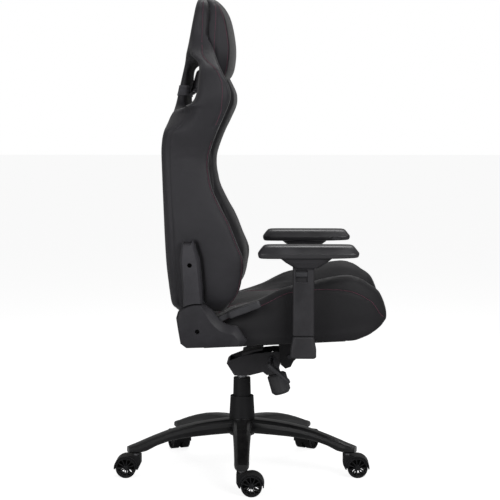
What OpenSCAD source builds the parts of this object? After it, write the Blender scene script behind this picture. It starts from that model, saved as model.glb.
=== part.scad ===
// Racing-style swivel chair: a bucket seat with a reclining back, adjustable armrests, a tilt
// mechanism, a gas lift and a five-arm base on twin-wheel castors.
// Millimetres. +X is the way the chair faces, +Y is its left and +Z is up. The origin lies on the
// floor under the middle of the chair's plan. The pieces are drawn about the swivel axis, and
// placed() moves them to the origin.

/* [Stance] */
// Distance of the swivel axis behind the middle of the plan
axis_back = 18.5; // [12:0.5:25]
// Radius of the circle of castor stems
castor_circle_r = 316; // [300:2:340]

// Turn of the base's arms about the swivel axis, degrees
base_turn = 1.8; // [0:0.1:3]

/* [Castors] */
// Diameter of a castor wheel
wheel_d = 57; // [50:1:60]
// Width of one castor wheel
wheel_w = 21; // [16:1:22]
// Distance of the axle from the castor's stem
trail = 27; // [22:1:30]
// Number of spokes in a wheel
spoke_count = 11; // [7:1:13]
// Thickness of a spoke
spoke_t = 2.2; // [1.6:0.2:3]
// Diameter of a castor's stem
stem_d = 11; // [10:0.5:12]

/* [Base] */
// Number of arms in the base
star_arms = 5; // [5:1:5]
// Outer diameter of the base's hub
hub_d = 72; // [68:1:80]
// Height of the hub's top above the floor
hub_top = 152; // [146:1:165]
// Height of the hub
hub_h = 50; // [40:1:60]
// Width of an arm at the hub
arm_root_w = 60; // [50:1:66]
// Width of an arm at its end
arm_tip_w = 41; // [36:1:46]
// Height of the underside of an arm's end above the floor
arm_end_z = 67; // [67:1:72]

/* [Gas lift] */
// Outer diameter of the gas column
column_d = 50; // [46:1:52]
// Height of the gas column's top above the floor
column_top = 188; // [182:1:192]
// Diameter of the gas spring
spring_d = 28; // [26:1:30]
// Diameter of the piston rod
rod_d = 10; // [8:1:12]
// Travel of the lift
lift_travel = 70; // [50:5:75]
// Height of the mechanism's socket above the floor, at rest
socket_z = 275; // [272:1:278]
// Diameter of the lower cover at its foot
lower_cover_d = 74; // [72:1:78]
// Height of the lower cover's top above the floor
lower_cover_top = 215; // [210:1:220]
// Diameter of the upper cover at its foot
upper_cover_d = 53; // [52:0.5:54]
// Wall of the covers
cover_wall = 1.8; // [1.2:0.2:2]

/* [Mechanism] */
// Width of the mechanism's housing
housing_w = 120; // [100:2:140]
// Distance of the tilt pin ahead of the swivel axis
tilt_x = 138; // [134:1:142]
// Height of the tilt pin above the floor, at rest
tilt_z = 337; // [335:1:340]
// Diameter of the tilt pin
tilt_pin_d = 12; // [10:1:14]
// Thickness of the mechanism's steel plates
plate_t = 4; // [3:0.5:5]
// Diameter of the tension knob
knob_d = 56; // [48:1:60]
// Length of the tension knob
knob_l = 60; // [50:1:62]
// Forward lean of the tension knob, degrees
knob_lean = 16; // [12:1:20]
// Number of grooves round the tension knob
knob_grooves = 24; // [16:1:30]
// Reach of the height lever to the side
lever_reach = 212; // [190:2:230]

/* [Seat] */
// Width over the seat's bolsters
seat_w = 528; // [510:2:530]
// Width of the centre panels of the seat and the back
panel_w = 304; // [280:2:320]
// Length of the seat from the recline axis to its front edge
seat_l = 518; // [505:1:530]
// Height of the seat's underside at the tilt pin
seat_z = 400.5; // [397:0.5:404]
// Rise of the seat towards its front, degrees
seat_pitch = 3; // [2:0.5:4]
// Thickness of the seat board
board_t = 9; // [6:1:12]
// Height of the bolsters' crest above the seat's underside
bolster_h = 191; // [170:1:200]
// Height of the centre panel above the seat's underside
pan_h = 118; // [105:1:124]

/* [Back] */
// Distance of the recline axis behind the swivel axis
recline_back = 110; // [105:1:115]
// Height of the recline axis above the floor
recline_z = 440; // [436:1:444]
// Height of the back's top above the recline axis
back_h = 915; // [880:5:950]
// Width of the back at the shoulders
shoulder_w = 548; // [520:2:550]
// Width of the back at the waist
waist_w = 470; // [450:2:490]
// Extra width of the back at the hips over the seat's bolsters
hip_flare = 9; // [4:1:9]
// Width of the back's spine between the shoulder slots
spine_w = 216; // [190:2:230]
// Width of the head pillow
pillow_w = 292; // [250:2:296]
// Height of the elastic strap's band
strap_h = 28; // [22:1:32]

/* [Recliner] */
// Thickness of the recliner's steel plates
recliner_t = 4; // [3:0.5:4.5]
// Depth of the recliner's covers
recliner_cover_t = 30; // [26:1:32]
// Diameter of the recliner's cross rod
cross_rod_d = 12; // [10:1:14]
// Radius at which the back's brackets pass over the side covers
recliner_gap_r = 75; // [74:0.5:77]

/* [Armrests] */
// Distance between the armrests' middles
arm_spacing = 650; // [640:2:680]
// Distance of the armrest posts ahead of the swivel axis
arm_x = 175; // [170:1:180]
// Width of an armrest post, front to back
post_w = 57.5; // [54:0.5:60]
// Depth of an armrest post, side to side
post_d = 32; // [30:1:36]
// Height of a post's foot above the floor
post_foot = 434; // [433:1:438]
// Height of a post's top above the floor
post_top = 616; // [608:1:620]
// Height of an armrest pad's top above the floor
pad_top = 678; // [674:1:684]
// Length of an armrest pad
pad_l = 268; // [250:2:280]
// Width of an armrest pad
pad_w = 94; // [84:1:100]
// Travel of an armrest's height
post_travel = 70; // [50:5:70]

/* [Hidden] */
$fn = 64;

// Running clearance of a pin in its bore, and the gap between soft or moulded neighbours
fit = 0.05;
gap = 0.3;
eps = 0.01;

// Colours of the finishes
black_paint = [0.05, 0.05, 0.055];
black_plastic = [0.16, 0.16, 0.17];
grey_plastic = [0.24, 0.24, 0.25];
dark_steel = [0.13, 0.13, 0.14];
bright_steel = [0.72, 0.72, 0.74];
upholstery = [0.2, 0.2, 0.21];

// Right-hand pieces are drawn on the left and mirrored
right = [0, 1, 0];

module placed() translate([-axis_back, 0, 0]) children();

module on_right() mirror(right) children();

// Smooth curve through [key, value] pairs, read at key k
function span_at(pairs, k, i = 0) =
    i >= len(pairs) - 2 || k < pairs[i + 1][0] ? i : span_at(pairs, k, i + 1);

function curve(pairs, k) =
    let (
        i = span_at(pairs, k),
        before = pairs[max(i - 1, 0)],
        low = pairs[i],
        high = pairs[i + 1],
        after = pairs[min(i + 2, len(pairs) - 1)],
        width = high[0] - low[0],
        s = (k - low[0]) / width,
        slope_low = (high[1] - before[1]) / (high[0] - before[0]) * width,
        slope_high = (after[1] - low[1]) / (after[0] - low[0]) * width
    )
    (2 * pow(s, 3) - 3 * pow(s, 2) + 1) * low[1] + (pow(s, 3) - 2 * pow(s, 2) + s) * slope_low
    + (3 * pow(s, 2) - 2 * pow(s, 3)) * high[1] + (pow(s, 3) - pow(s, 2)) * slope_high;

// Closed outline between an ellipse (power 1) and a rectangle (power 0)
function soft_outline(centre, half, power, count) = [
    for (i = [0:count - 1])
        let (a = 360 * i / count)
        [
            centre[0] + half[0] * sign(cos(a)) * pow(abs(cos(a)), power),
            centre[1] + half[1] * sign(sin(a)) * pow(abs(sin(a)), power)
        ]
];

// Solid through rings of equal count, each counter-clockwise seen from the end it is lofted to
module loft(rings) {
    n = len(rings[0]);
    last = len(rings) - 1;
    sides = [
        for (j = [0:last - 1], i = [0:n - 1])
            let (a = j * n + i, b = j * n + (i + 1) % n)
            each [[a, b + n, b], [a, a + n, b + n]]
    ];
    foot = [for (i = [0:n - 1]) i];
    head = [for (i = [n - 1:-1:0]) last * n + i];
    points = [for (ring = rings) each ring];
    polyhedron(points = points, faces = concat(sides, [foot], [head]), convexity = 8);
}

// Flat outline in x and z, made into a slab from y0 to y1
module slab(outline, y0, y1) {
    translate([0, y1, 0])
        rotate([90, 0, 0])
            linear_extrude(y1 - y0)
                polygon(outline);
}

// Cylinder along Y
module rod_y(x, z, r, y0, y1) {
    translate([x, y0, z])
        rotate([-90, 0, 0])
            cylinder(r = r, h = y1 - y0);
}

// ---------------------------------------------------------------- base

arm_step = 360 / star_arms;
arm_angles = [for (i = [0:star_arms - 1]) -90 + base_turn + i * arm_step];
arm_tip_r = castor_circle_r + 23;
stem_r = stem_d / 2;
boss_r = stem_r + 9;
stem_top = arm_end_z + 22;

// Arm's upper and lower edges: share of the reach, height above the hub's foot
hub_foot = hub_top - hub_h;
arm_upper = [[0, hub_top - 1], [0.12, hub_top - 1], [0.36, hub_top - 7], [0.57, hub_top - 19],
    [0.8, hub_top - 42], [0.92, hub_top - 57], [1, hub_top - 64]];
arm_lower = [[0, hub_foot + 5], [0.17, hub_foot + 5], [0.36, hub_foot + 3], [0.53, hub_foot],
    [0.71, hub_foot - 10], [0.84, arm_end_z + 6], [0.9, arm_end_z + 1], [1, arm_end_z + 0.5]];
arm_stations = [0.08, 0.17, 0.3, 0.42, 0.54, 0.65, 0.76, 0.85, 0.92, 0.97, 1];

function arm_ring(share) =
    let (
        top = curve(arm_upper, share),
        low = curve(arm_lower, share),
        taper = share > 0.95 ? 1 - 6 * (share - 0.95) : 1,
        half_w = (arm_root_w + (arm_tip_w - arm_root_w) * min(1, share * 1.2)) / 2 * taper
    )
    [
        for (p = soft_outline([0, (top + low) / 2], [half_w, (top - low) / 2 * (0.5 + taper / 2)], 0.62, 16))
            [share * arm_tip_r, p[0], p[1]]
    ];

module star_base() color(black_paint) {
    difference() {
        union() {
            translate([0, 0, hub_foot]) cylinder(d = hub_d, h = hub_h);
            translate([0, 0, hub_foot - 2]) cylinder(d = hub_d - 8, h = 6);
            for (a = arm_angles) rotate([0, 0, a]) {
                loft([for (share = arm_stations) arm_ring(share)]);
                translate([castor_circle_r, 0, arm_end_z]) cylinder(r = boss_r, h = 20);
            }
        }
        translate([0, 0, hub_foot - 3])
            cylinder(r1 = column_r_foot + fit, r2 = column_d / 2 + fit, h = hub_h + 4);
        for (a = arm_angles) rotate([0, 0, a])
            translate([castor_circle_r, 0, arm_end_z - 5])
                cylinder(r = stem_r, h = stem_top - arm_end_z + 5.5);
    }
}

// ---------------------------------------------------------------- castors

wheel_r = wheel_d / 2;
axle_z = wheel_r;
axle_r = 3;
web_half = 4.5;
wheel_y0 = web_half + 1;
wheel_y1 = wheel_y0 + wheel_w;
hood_half = wheel_y1 + 1.5;
wheel_space_r = wheel_r + 1.8;
hood_r = wheel_space_r + 3.4;
hood_top = arm_end_z - 5;
hood_back = stem_r + 8.5;
hood_lip_z = axle_z - 3;
castor_yaw = [0, 0, 60, 115, 180];

module castor_stems() color(bright_steel) {
    for (a = arm_angles) rotate([0, 0, a]) translate([castor_circle_r, 0, 0]) {
        translate([0, 0, hood_top - 24]) cylinder(r = stem_r - fit, h = stem_top - hood_top + 24);
        translate([0, 0, hood_top + gap]) cylinder(r = stem_r + 3.5, h = arm_end_z - hood_top - 2 * gap);
    }
}

module castor_hood() color(black_plastic) {
    difference() {
        union() {
            intersection() {
                rod_y(trail, axle_z, hood_r, -hood_half, hood_half);
                translate([trail - hood_r - 1, -hood_half - 1, hood_lip_z])
                    cube([2 * hood_r + 2, 2 * hood_half + 2, hood_r + 4]);
            }
            slab([[-hood_back, hood_top], [-hood_back, axle_z + 9], [-hood_back + 7, hood_lip_z - 2],
                [trail - 20, hood_lip_z - 4], [trail, axle_z], [trail, axle_z + hood_r - 0.6],
                [trail - 11, hood_top]], -hood_half + 5, hood_half - 5);
        }
        for (s = [0, 1]) mirror([0, s, 0]) rod_y(trail, axle_z, wheel_space_r, web_half, hood_half + 5);
        translate([0, 0, hood_top - 26]) cylinder(r = stem_r, h = 30);
    }
    for (s = [0, 1]) mirror([0, s, 0]) rod_y(trail, axle_z, axle_r, web_half - 1, wheel_y1 - 3);
}

module castor_wheels() color(black_plastic) {
    for (s = [0, 1]) mirror([0, s, 0]) translate([trail, wheel_y1, axle_z]) rotate([90, 0, 0]) {
        difference() {
            union() {
                difference() {
                    cylinder(r = wheel_r, h = wheel_w);
                    translate([0, 0, -1]) cylinder(r = wheel_r - 3.6, h = wheel_w + 2);
                }
                translate([0, 0, 1]) cylinder(r = axle_r + 3.4, h = wheel_w - 2);
                translate([0, 0, 2.5]) linear_extrude(wheel_w - 7) spokes();
            }
            translate([0, 0, 2]) cylinder(r = axle_r + fit, h = wheel_w);
        }
    }
}

module spokes() {
    for (i = [0:spoke_count - 1]) rotate(i * 360 / spoke_count)
        translate([axle_r + 2, -spoke_t / 2]) square([wheel_r - axle_r - 4.5, spoke_t]);
}

module at_castor(i) {
    rotate([0, 0, arm_angles[i]])
        translate([castor_circle_r, 0, 0])
            rotate([0, 0, castor_yaw[i] - arm_angles[i]])
                children();
}

// ---------------------------------------------------------------- gas lift

column_r_foot = column_d / 2 - 1.4;
spring_r = spring_d / 2;
spring_foot = hub_foot + 18;
rod_r = rod_d / 2;
bearing_r = spring_r + 4;

module gas_column() color(dark_steel) {
    difference() {
        union() {
            translate([0, 0, hub_foot - 2]) cylinder(r1 = column_r_foot, r2 = column_d / 2, h = hub_h + 2);
            translate([0, 0, hub_top]) cylinder(d = column_d, h = column_top - hub_top);
        }
        translate([0, 0, hub_foot + 2]) cylinder(r = column_r_foot - 2.5, h = hub_h - 10);
        translate([0, 0, hub_foot - 4]) cylinder(r = rod_r + fit, h = 20);
        translate([0, 0, hub_foot + 20]) cylinder(r = spring_r + fit, h = column_top - hub_foot);
    }
}

module piston_rod() color(bright_steel) {
    translate([0, 0, hub_foot - 7]) cylinder(r = rod_r, h = column_top - hub_foot + 52);
    translate([0, 0, hub_foot + 2 + gap]) cylinder(r = bearing_r, h = spring_foot - hub_foot - 2 - 2 * gap);
}

module retaining_clip() color(bright_steel) {
    translate([0, 0, hub_foot - 4 - gap]) difference() {
        cylinder(r = rod_r + 6, h = 1.6);
        translate([0, 0, -1]) cylinder(r = rod_r + fit, h = 4);
        translate([0, -2, -1]) cube([rod_r + 8, 4, 4]);
    }
}

module gas_spring() color(bright_steel) {
    difference() {
        union() {
            translate([0, 0, spring_foot]) cylinder(r = spring_r, h = socket_z + 4 - spring_foot);
            translate([0, 0, socket_z + 4]) cylinder(r1 = spring_r, r2 = spring_r - 1.2, h = 36);
            translate([0, 0, socket_z + 40]) cylinder(r = 4, h = 6);
        }
        translate([0, 0, spring_foot - 1]) cylinder(r = rod_r + fit, h = socket_z - spring_foot - 20);
    }
}

// Telescoping sleeve with a straight bore, a runner round its foot and a rim turned in at its top
module sleeve(foot_z, top_z, foot_r, top_r, runner_r, rim_r) color(black_plastic) {
    difference() {
        union() {
            translate([0, 0, foot_z]) cylinder(r1 = foot_r, r2 = top_r, h = top_z - foot_z);
            translate([0, 0, foot_z]) cylinder(r = runner_r, h = runner_h);
        }
        translate([0, 0, foot_z - eps]) cylinder(r = top_r - cover_wall, h = top_z - foot_z - cover_wall);
        translate([0, 0, foot_z]) cylinder(r = rim_r, h = top_z);
    }
}

lower_foot_r = lower_cover_d / 2;
lower_top_r = lower_foot_r - 3.5;
upper_foot_r = upper_cover_d / 2;
upper_foot = column_top + 2;
middle_r = (lower_top_r + upper_foot_r) / 2;
runner_h = 3;
runner_fit = 0.08;
lower_bore_r = lower_top_r - cover_wall;
middle_bore_r = middle_r - cover_wall;

module cover_lower()
    sleeve(hub_top + gap, lower_cover_top, lower_foot_r, lower_top_r, lower_foot_r, lower_bore_r - 0.3);

module cover_middle()
    sleeve(hub_top + 5, lower_cover_top - 1, middle_r, middle_r, lower_bore_r - runner_fit, middle_bore_r - 0.3);

module cover_upper()
    sleeve(upper_foot, socket_z - 7, upper_foot_r, upper_foot_r - 2, middle_bore_r - runner_fit, spring_r);

// ---------------------------------------------------------------- tilt mechanism

housing_half = housing_w / 2;
shaft_x = 88;
shaft_z = tilt_z - 7;
shaft_r = 4.5;
shaft_bore_r = shaft_r + fit;
tilt_r = tilt_pin_d / 2;
knob_top_x = 99;
knob_top_z = tilt_z - 58;
bolt_r = 5;
bolt_seat = 26.5;
housing_floor = socket_z + 7;

// The pressed housing seen from the side, nose at the rear and pin lugs at the front
housing_outline = [[-42, tilt_z - 20], [-34, tilt_z - 13], [0, tilt_z], [40, tilt_z + 8],
    [92, tilt_z + 14], [tilt_x + 4, tilt_z + 15], [tilt_x + 14, tilt_z + 8],
    [tilt_x + 15, tilt_z - 8], [tilt_x + 4, tilt_z - 14], [112, tilt_z - 17], [106, tilt_z - 42],
    [96, tilt_z - 50], [73, tilt_z - 54], [62, tilt_z - 45], [23, housing_floor],
    [-20, housing_floor]];
housing_inside = [[-33, tilt_z], [-35, tilt_z - 18], [-17, housing_floor + plate_t],
    [24, housing_floor + plate_t], [60, tilt_z - 39], [102, tilt_z - 38], [108, tilt_z - 14],
    [tilt_x + 30, tilt_z - 9], [tilt_x + 30, tilt_z + 40], [-33, tilt_z + 40]];
housing_lid = [[2, tilt_z + 9], [36, tilt_z + 19], [62, tilt_z + 23], [62, tilt_z + 18],
    [36, tilt_z + 13], [2, tilt_z - 1]];

module knob_axis() translate([knob_top_x, 0, knob_top_z]) rotate([0, -knob_lean, 0]) children();

module mechanism_housing() color(grey_plastic) {
    difference() {
        union() {
            difference() {
                slab(housing_outline, -housing_half, housing_half);
                slab(housing_inside, -housing_half + plate_t, housing_half - plate_t);
            }
            translate([0, 0, housing_floor - 7]) cylinder(r = spring_r + 7, h = 45);
            slab(housing_lid, -housing_half + 1, housing_half - 1);
            knob_axis() translate([0, 0, 3]) cylinder(r = bolt_r + 8, h = bolt_seat - 3);
        }
        translate([0, 0, socket_z - 10]) cylinder(r = spring_r + fit, h = 14 + eps);
        translate([0, 0, socket_z + 4]) cylinder(r1 = spring_r + fit, r2 = spring_r - 1.2 + fit, h = 36);
        translate([0, 0, socket_z + 30]) cylinder(r = spring_r - 3, h = 60);
        rod_y(tilt_x, tilt_z, tilt_r, -housing_half - 1, housing_half + 1);
        rod_y(shaft_x, shaft_z, shaft_bore_r, -housing_half - 1, housing_half + 1);
        knob_axis() translate([0, 0, -3]) cylinder(r = bolt_r, h = 40);
    }
}

module tilt_pin() color(bright_steel)
    rod_y(tilt_x, tilt_z, tilt_r - fit, -housing_half - plate_t - 5, housing_half + plate_t + 5);

module tension_bolt() color(bright_steel) knob_axis() {
    translate([0, 0, -knob_l + 14]) cylinder(r = bolt_r - fit, h = knob_l - 14 + bolt_seat + gap + 1);
    translate([0, 0, bolt_seat + gap]) cylinder(r = bolt_r + 4, h = 6, $fn = 6);
}

module tension_knob() color(black_plastic) knob_axis() {
    groove_r = PI * knob_d / knob_grooves / 4;
    difference() {
        union() {
            translate([0, 0, -knob_l + 8]) cylinder(d = knob_d, h = knob_l - 13);
            translate([0, 0, -knob_l]) cylinder(d1 = knob_d - 14, d2 = knob_d, h = 8);
            translate([0, 0, -5]) cylinder(d1 = knob_d, d2 = knob_d - 10, h = 5);
        }
        for (i = [0:knob_grooves - 1]) rotate([0, 0, i * 360 / knob_grooves])
            translate([knob_d / 2 + groove_r / 2, 0, -knob_l + 8])
                cylinder(r = groove_r, h = knob_l - 14, $fn = 16);
        translate([0, 0, -knob_l + 12]) cylinder(r = bolt_r, h = knob_l);
    }
}

bush_y = housing_half + gap;

module lever_bush() color(grey_plastic) on_right() difference() {
    rod_y(shaft_x, shaft_z, shaft_r + 4, bush_y, bush_y + 6);
    rod_y(shaft_x, shaft_z, shaft_bore_r, bush_y - 1, bush_y + 7);
}

module height_lever() on_right() {
    color(bright_steel) rod_y(shaft_x, shaft_z, shaft_r, housing_half - plate_t - 14, lever_reach - 20);
    color(black_plastic) translate([shaft_x, lever_reach - 14, shaft_z]) rotate([0, 41, 0]) {
        difference() {
            union() {
                loft([for (s = [[-14, 0.6], [-10, 0.95], [20, 1], [50, 0.95], [62, 0.75], [67, 0.4]])
                    [for (p = soft_outline([0, 0], [19 * s[1], 6.5 * s[1]], 0.6, 16)) [s[0], p[0], p[1]]]]);
                rod_y(0, 0, shaft_r + 4, -24, 0);
            }
            rod_y(0, 0, shaft_r, -26, -5);
        }
    }
}

// ---------------------------------------------------------------- seat

pitch_rise = tan(seat_pitch);
seat_back_x = -recline_back + 12;
seat_front_x = -recline_back + seat_l;
panel_half = panel_w / 2;
seat_half = seat_w / 2;
hip_w = seat_w + hip_flare;
board_half = seat_half - 14;
board_x0 = seat_back_x + 3;
board_x1 = seat_front_x - 118;

// Moves a piece drawn flat, with the seat's underside at z = 0, under the sloping seat
module on_seat()
    translate([tilt_x, 0, seat_z]) rotate([0, -seat_pitch, 0]) translate([-tilt_x, 0, 0]) children();

plate_x0 = 22;
plate_x1 = 196;
plate_half = 100;
plate_bolt_x = [42, 178];
plate_bolt_y = plate_half - 18;
arm_bolt_y = [120, 175, 230];
bolt_shank_r = 4;
bolt_hole_r = bolt_shank_r + 0.25;

module seat_plate() color(dark_steel) {
    cheek = [[104, seat_z + 1], [170, seat_z + 1], [168, tilt_z + 6], [149, tilt_z - 13],
        [141, tilt_z - 29], [126, tilt_z - 34], [112, tilt_z - 22]];
    difference() {
        union() {
            on_seat() translate([plate_x0, -plate_half, -plate_t])
                cube([plate_x1 - plate_x0, 2 * plate_half, plate_t]);
            for (s = [0, 1]) mirror([0, s, 0]) intersection() {
                slab(cheek, housing_half + gap, housing_half + gap + plate_t);
                on_seat() translate([0, 0, -200]) cube([400, 200, 199]);
            }
        }
        rod_y(tilt_x, tilt_z, tilt_r, -200, 200);
        on_seat() for (x = plate_bolt_x, s = [-1, 1])
            translate([x, s * plate_bolt_y, -20]) cylinder(r = bolt_hole_r, h = 40);
    }
}

module seat_board() color(dark_steel) on_seat() difference() {
    translate([board_x0, -board_half, 0]) cube([board_x1 - board_x0, 2 * board_half, board_t]);
    for (x = plate_bolt_x, s = [-1, 1])
        translate([x, s * plate_bolt_y, -1]) cylinder(r = bolt_hole_r, h = board_t - 1);
    for (y = arm_bolt_y, s = [-1, 1])
        translate([arm_x, s * y, -1]) cylinder(r = bolt_hole_r, h = board_t - 1);
}

module seat_bolt(head_z) {
    translate([0, 0, head_z - 5]) cylinder(r = bolt_shank_r + 3, h = 5);
    translate([0, 0, head_z - eps]) cylinder(r = bolt_shank_r, h = board_t - 3 - head_z);
}

module seat_bolts() color(bright_steel) on_seat() {
    for (x = plate_bolt_x, s = [-1, 1]) translate([x, s * plate_bolt_y, 0]) seat_bolt(-plate_t);
    for (y = arm_bolt_y, s = [-1, 1]) translate([arm_x, s * y, 0]) seat_bolt(-bracket_t);
}

// Heights above the seat's underside along the seat: share of its length, share of the full height
crest_line = [[0, 0.443], [0.07, 0.448], [0.105, 0.467], [0.154, 0.545], [0.253, 0.618], [0.322, 0.68],
    [0.391, 0.764], [0.45, 0.826], [0.53, 0.866], [0.589, 0.889], [0.668, 0.929], [0.747, 0.956],
    [0.806, 0.955], [0.8755, 0.885], [0.905, 0.825], [0.964, 0.696], [0.99, 0.535], [1, 0.42]];
pan_line = [[0, 0.7], [0.06, 0.745], [0.1, 0.88], [0.154, 0.975], [0.32, 0.97], [0.59, 0.935], [0.79, 0.91],
    [0.88, 0.87], [0.95, 0.74], [0.985, 0.56], [1, 0.44]];
underside_line = [[0, 0], [0.6, 0], [0.8, 0.5], [0.885, 12], [0.93, 24], [0.968, 36], [1, 55]];
cushion_l = seat_front_x - seat_back_x;
board_end = (board_x1 + gap - seat_back_x) / cushion_l;
seat_stations = [0, 0.05, 0.1, 0.15, 0.2, 0.26, 0.34, 0.42, 0.5, 0.58, 0.66, 0.72,
    board_end, board_end + 0.002, 0.81, 0.87, 0.92, 0.96, 0.985, 1];

function seat_x(share) = seat_back_x + share * cushion_l;
function wrap_low(share) = max(gap, curve(underside_line, share));
function cushion_low(share) = share <= board_end ? board_t + gap : wrap_low(share);
function crest_z(share) = max(cushion_low(share) + 14, bolster_h * curve(crest_line, share));
function pan_z(share) = max(cushion_low(share) + 12, pan_h * curve(pan_line, share));

// Across the panel: share of its half width, drop of the surface from the crown
pan_across = [[-1, 16], [-0.96, 6], [-0.7, 2], [-0.35, 0.5], [0, 0],
    [0.35, 0.5], [0.7, 2], [0.96, 6], [1, 16]];

function pan_ring(share) =
    let (
        low = cushion_low(share),
        top = pan_z(share),
        depth = min(1, (top - low) / 50),
        half = panel_half - gap / 2 - (share > 0.97 ? 6 : 0)
    )
    [
        each [for (i = [len(pan_across) - 1:-1:0])
            [seat_x(share), pan_across[i][0] * half, top - pan_across[i][1] * depth]],
        [seat_x(share), -half, low],
        [seat_x(share), 0, low],
        [seat_x(share), half, low]
    ];

module seat_cushion() color(upholstery) on_seat() loft([for (share = seat_stations) pan_ring(share)]);

// Round the bolster's section from the inside of its foot: share of width, share of height
bolster_across = [[0.96, 0], [0.99, 0.14], [1, 0.4], [0.975, 0.68], [0.9, 0.9], [0.76, 1],
    [0.6, 0.985], [0.42, 0.9]];
bolster_lean = [0, 0, 0, 0.03, 0.12, 0.05, -0.01, -0.1];

function bolster_ring(share) =
    let (
        low = cushion_low(share),
        top = crest_z(share),
        inner = pan_z(share) - 7,
        inner_top = max(low + 4, min(inner, top - 4)),
        foot = wrap_low(share),
        inside = panel_half + gap / 2,
        width = seat_half - inside,
        draw_in = share > 0.8 ? 26 * pow((share - 0.8) / 0.2, 2) : 0,
        lean = max(0, 1 - share / 0.6)
    )
    [
        [seat_x(share), inside, low],
        [seat_x(share), board_half + gap - draw_in, low],
        [seat_x(share), board_half + gap - draw_in, foot],
        each [for (i = [0:len(bolster_across) - 1])
            let (p = bolster_across[i])
            [seat_x(share), inside + p[0] * (width - draw_in),
                foot + (p[1] - lean * bolster_lean[i]) * (top - foot)]],
        [seat_x(share), inside + 0.2 * width, inner_top + 0.42 * max(0, top - inner_top)],
        [seat_x(share), inside, inner_top]
    ];

module seat_bolster_left() color(upholstery) on_seat()
    loft([for (share = seat_stations) bolster_ring(share)]);

module seat_bolster_right() on_right() seat_bolster_left();

// ---------------------------------------------------------------- recliner

lower_plate_y = seat_half + gap;
upper_plate_y = lower_plate_y + recliner_t + gap;
recliner_cover_y = upper_plate_y + recliner_t + gap;
recliner_cover_y1 = recliner_cover_y + recliner_cover_t;
cross_r = cross_rod_d / 2;
lever_y = recliner_cover_y + 6;
lever_t = 5;
bracket_arc_r = recliner_gap_r + 0.6;

module at_recliner() translate([-recline_back, 0, recline_z]) children();

// Points of an arc about the recline axis
function arc_points(r, a0, a1, steps) =
    [for (i = [0:steps]) let (a = a0 + (a1 - a0) * i / steps) [r * cos(a), r * sin(a)]];

module recliner_plates() color(dark_steel) for (s = [0, 1]) mirror([0, s, 0]) at_recliner() difference() {
    union() {
        rod_y(0, 0, 21, lower_plate_y, lower_plate_y + recliner_t);
        slab([[-20, -26], [-6, -44], [96, -40], [108, -24], [60, -8], [16, 20]],
            lower_plate_y, lower_plate_y + recliner_t);
    }
    rod_y(0, 0, cross_r + fit, 0, 400);
}

// Side cover: its edge at the seat side, and the smaller face that its bevels run up to
cover_edge = concat(arc_points(recliner_gap_r, 78, 134, 5), [[-57.5, 36], [-52, 0], [-46, -34], [-30, -46],
    [40, -44], [120, -41], [130, -29], [133, -24], [108, 13], [76, 20], [56, 36], [42, 55], [25, 68]]);
cover_face = concat(arc_points(recliner_gap_r - 4, 82, 132, 5), [[-52, 34], [-47, 0], [-42, -31], [-27, -42],
    [40, -40], [106, -38], [114, -32], [112, -24], [100, -6], [86, -4], [56, 10], [30, 36], [16, 60]]);

// A small copy of an outline round a spot inside it, for the middle of a slightly crowned face
function inset(outline, spot) = [for (p = outline) spot + 0.12 * (p - spot)];

crown = 1;
cover_spot = [20, -10];

module recliner_cover(lever_slot) at_recliner() color(grey_plastic) difference() {
    loft([
        for (s = [[recliner_cover_y + crown, inset(cover_edge, cover_spot)], [recliner_cover_y, cover_edge],
            [recliner_cover_y + 17, cover_edge], [recliner_cover_y1, cover_face],
            [recliner_cover_y1 + crown, inset(cover_face, cover_spot)]])
            [for (i = [len(s[1]) - 1:-1:0]) [s[1][i][0], s[0], s[1][i][1]]]
    ]);
    rod_y(0, 0, 6.4, recliner_cover_y - 1, recliner_cover_y1 + 2);
    rod_y(0, 0, 20, recliner_cover_y - 1, lever_y + lever_t + 1);
    if (lever_slot)
        slab([[0, -19], [90, 18], [110, 60], [60, 90], [0, 19]], lever_y - 1, lever_y + lever_t + 1);
}

module recliner_cover_right() on_right() recliner_cover(true);

module recliner_cover_left() recliner_cover(false);

module cross_rod() color(bright_steel) at_recliner()
    rod_y(0, 0, cross_r, -lever_y + gap, recliner_cover_y + 4);

// Steel arm on the cross rod's right end, with a moulded grip
module recline_lever() on_right() at_recliner() {
    color(dark_steel) {
        rod_y(0, 0, 15, lever_y, lever_y + lever_t);
        slab([[4, -9], [92, 41], [88, 52], [-3, 10]], lever_y, lever_y + lever_t);
    }
    color(black_plastic) translate([87, lever_y + lever_t / 2, 44]) rotate([0, -20.5, 0])
        difference() {
            loft([for (s = [[-2, 0.75], [2, 1], [60, 1], [82, 0.98], [87, 0.8]])
                [for (p = soft_outline([6, 0], [13 * s[1], 9.5 * s[1]], 0.35, 16)) [s[0], p[0], p[1]]]]);
            translate([-10, -lever_t / 2 - fit, -20]) cube([18, lever_t + 2 * fit, 40]);
        }
}

// Steel arms that carry the back, tied together by a tube under its foot
module back_arms() color(dark_steel) at_recliner() {
    for (s = [0, 1]) mirror([0, s, 0]) difference() {
        union() {
            rod_y(0, 0, 30, upper_plate_y, upper_plate_y + recliner_t);
            slab([[-26, 10], [-38, 120], [-44, 190], [-36, 225], [-16, 225], [2, 190], [8, 120], [24, 10]],
                upper_plate_y, upper_plate_y + recliner_t);
        }
        rod_y(0, 0, cross_r + fit, 0, 400);
    }
    rod_y(-9, 33, 8, -upper_plate_y, upper_plate_y);
}

bracket_edge = concat(arc_points(bracket_arc_r, 120, 79, 4), [[11, 120], [5, 191], [-12, 246],
    [-16, 237], [-37, 237], [-41, 244], [-47, 191], [-40, 120]]);
bracket_face = concat(arc_points(bracket_arc_r, 117, 84, 4), [[4, 120], [-2, 189], [-15, 238],
    [-18, 232], [-34, 232], [-37, 236], [-40, 189], [-35, 120]]);

bracket_spot = [-20, 150];

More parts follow.
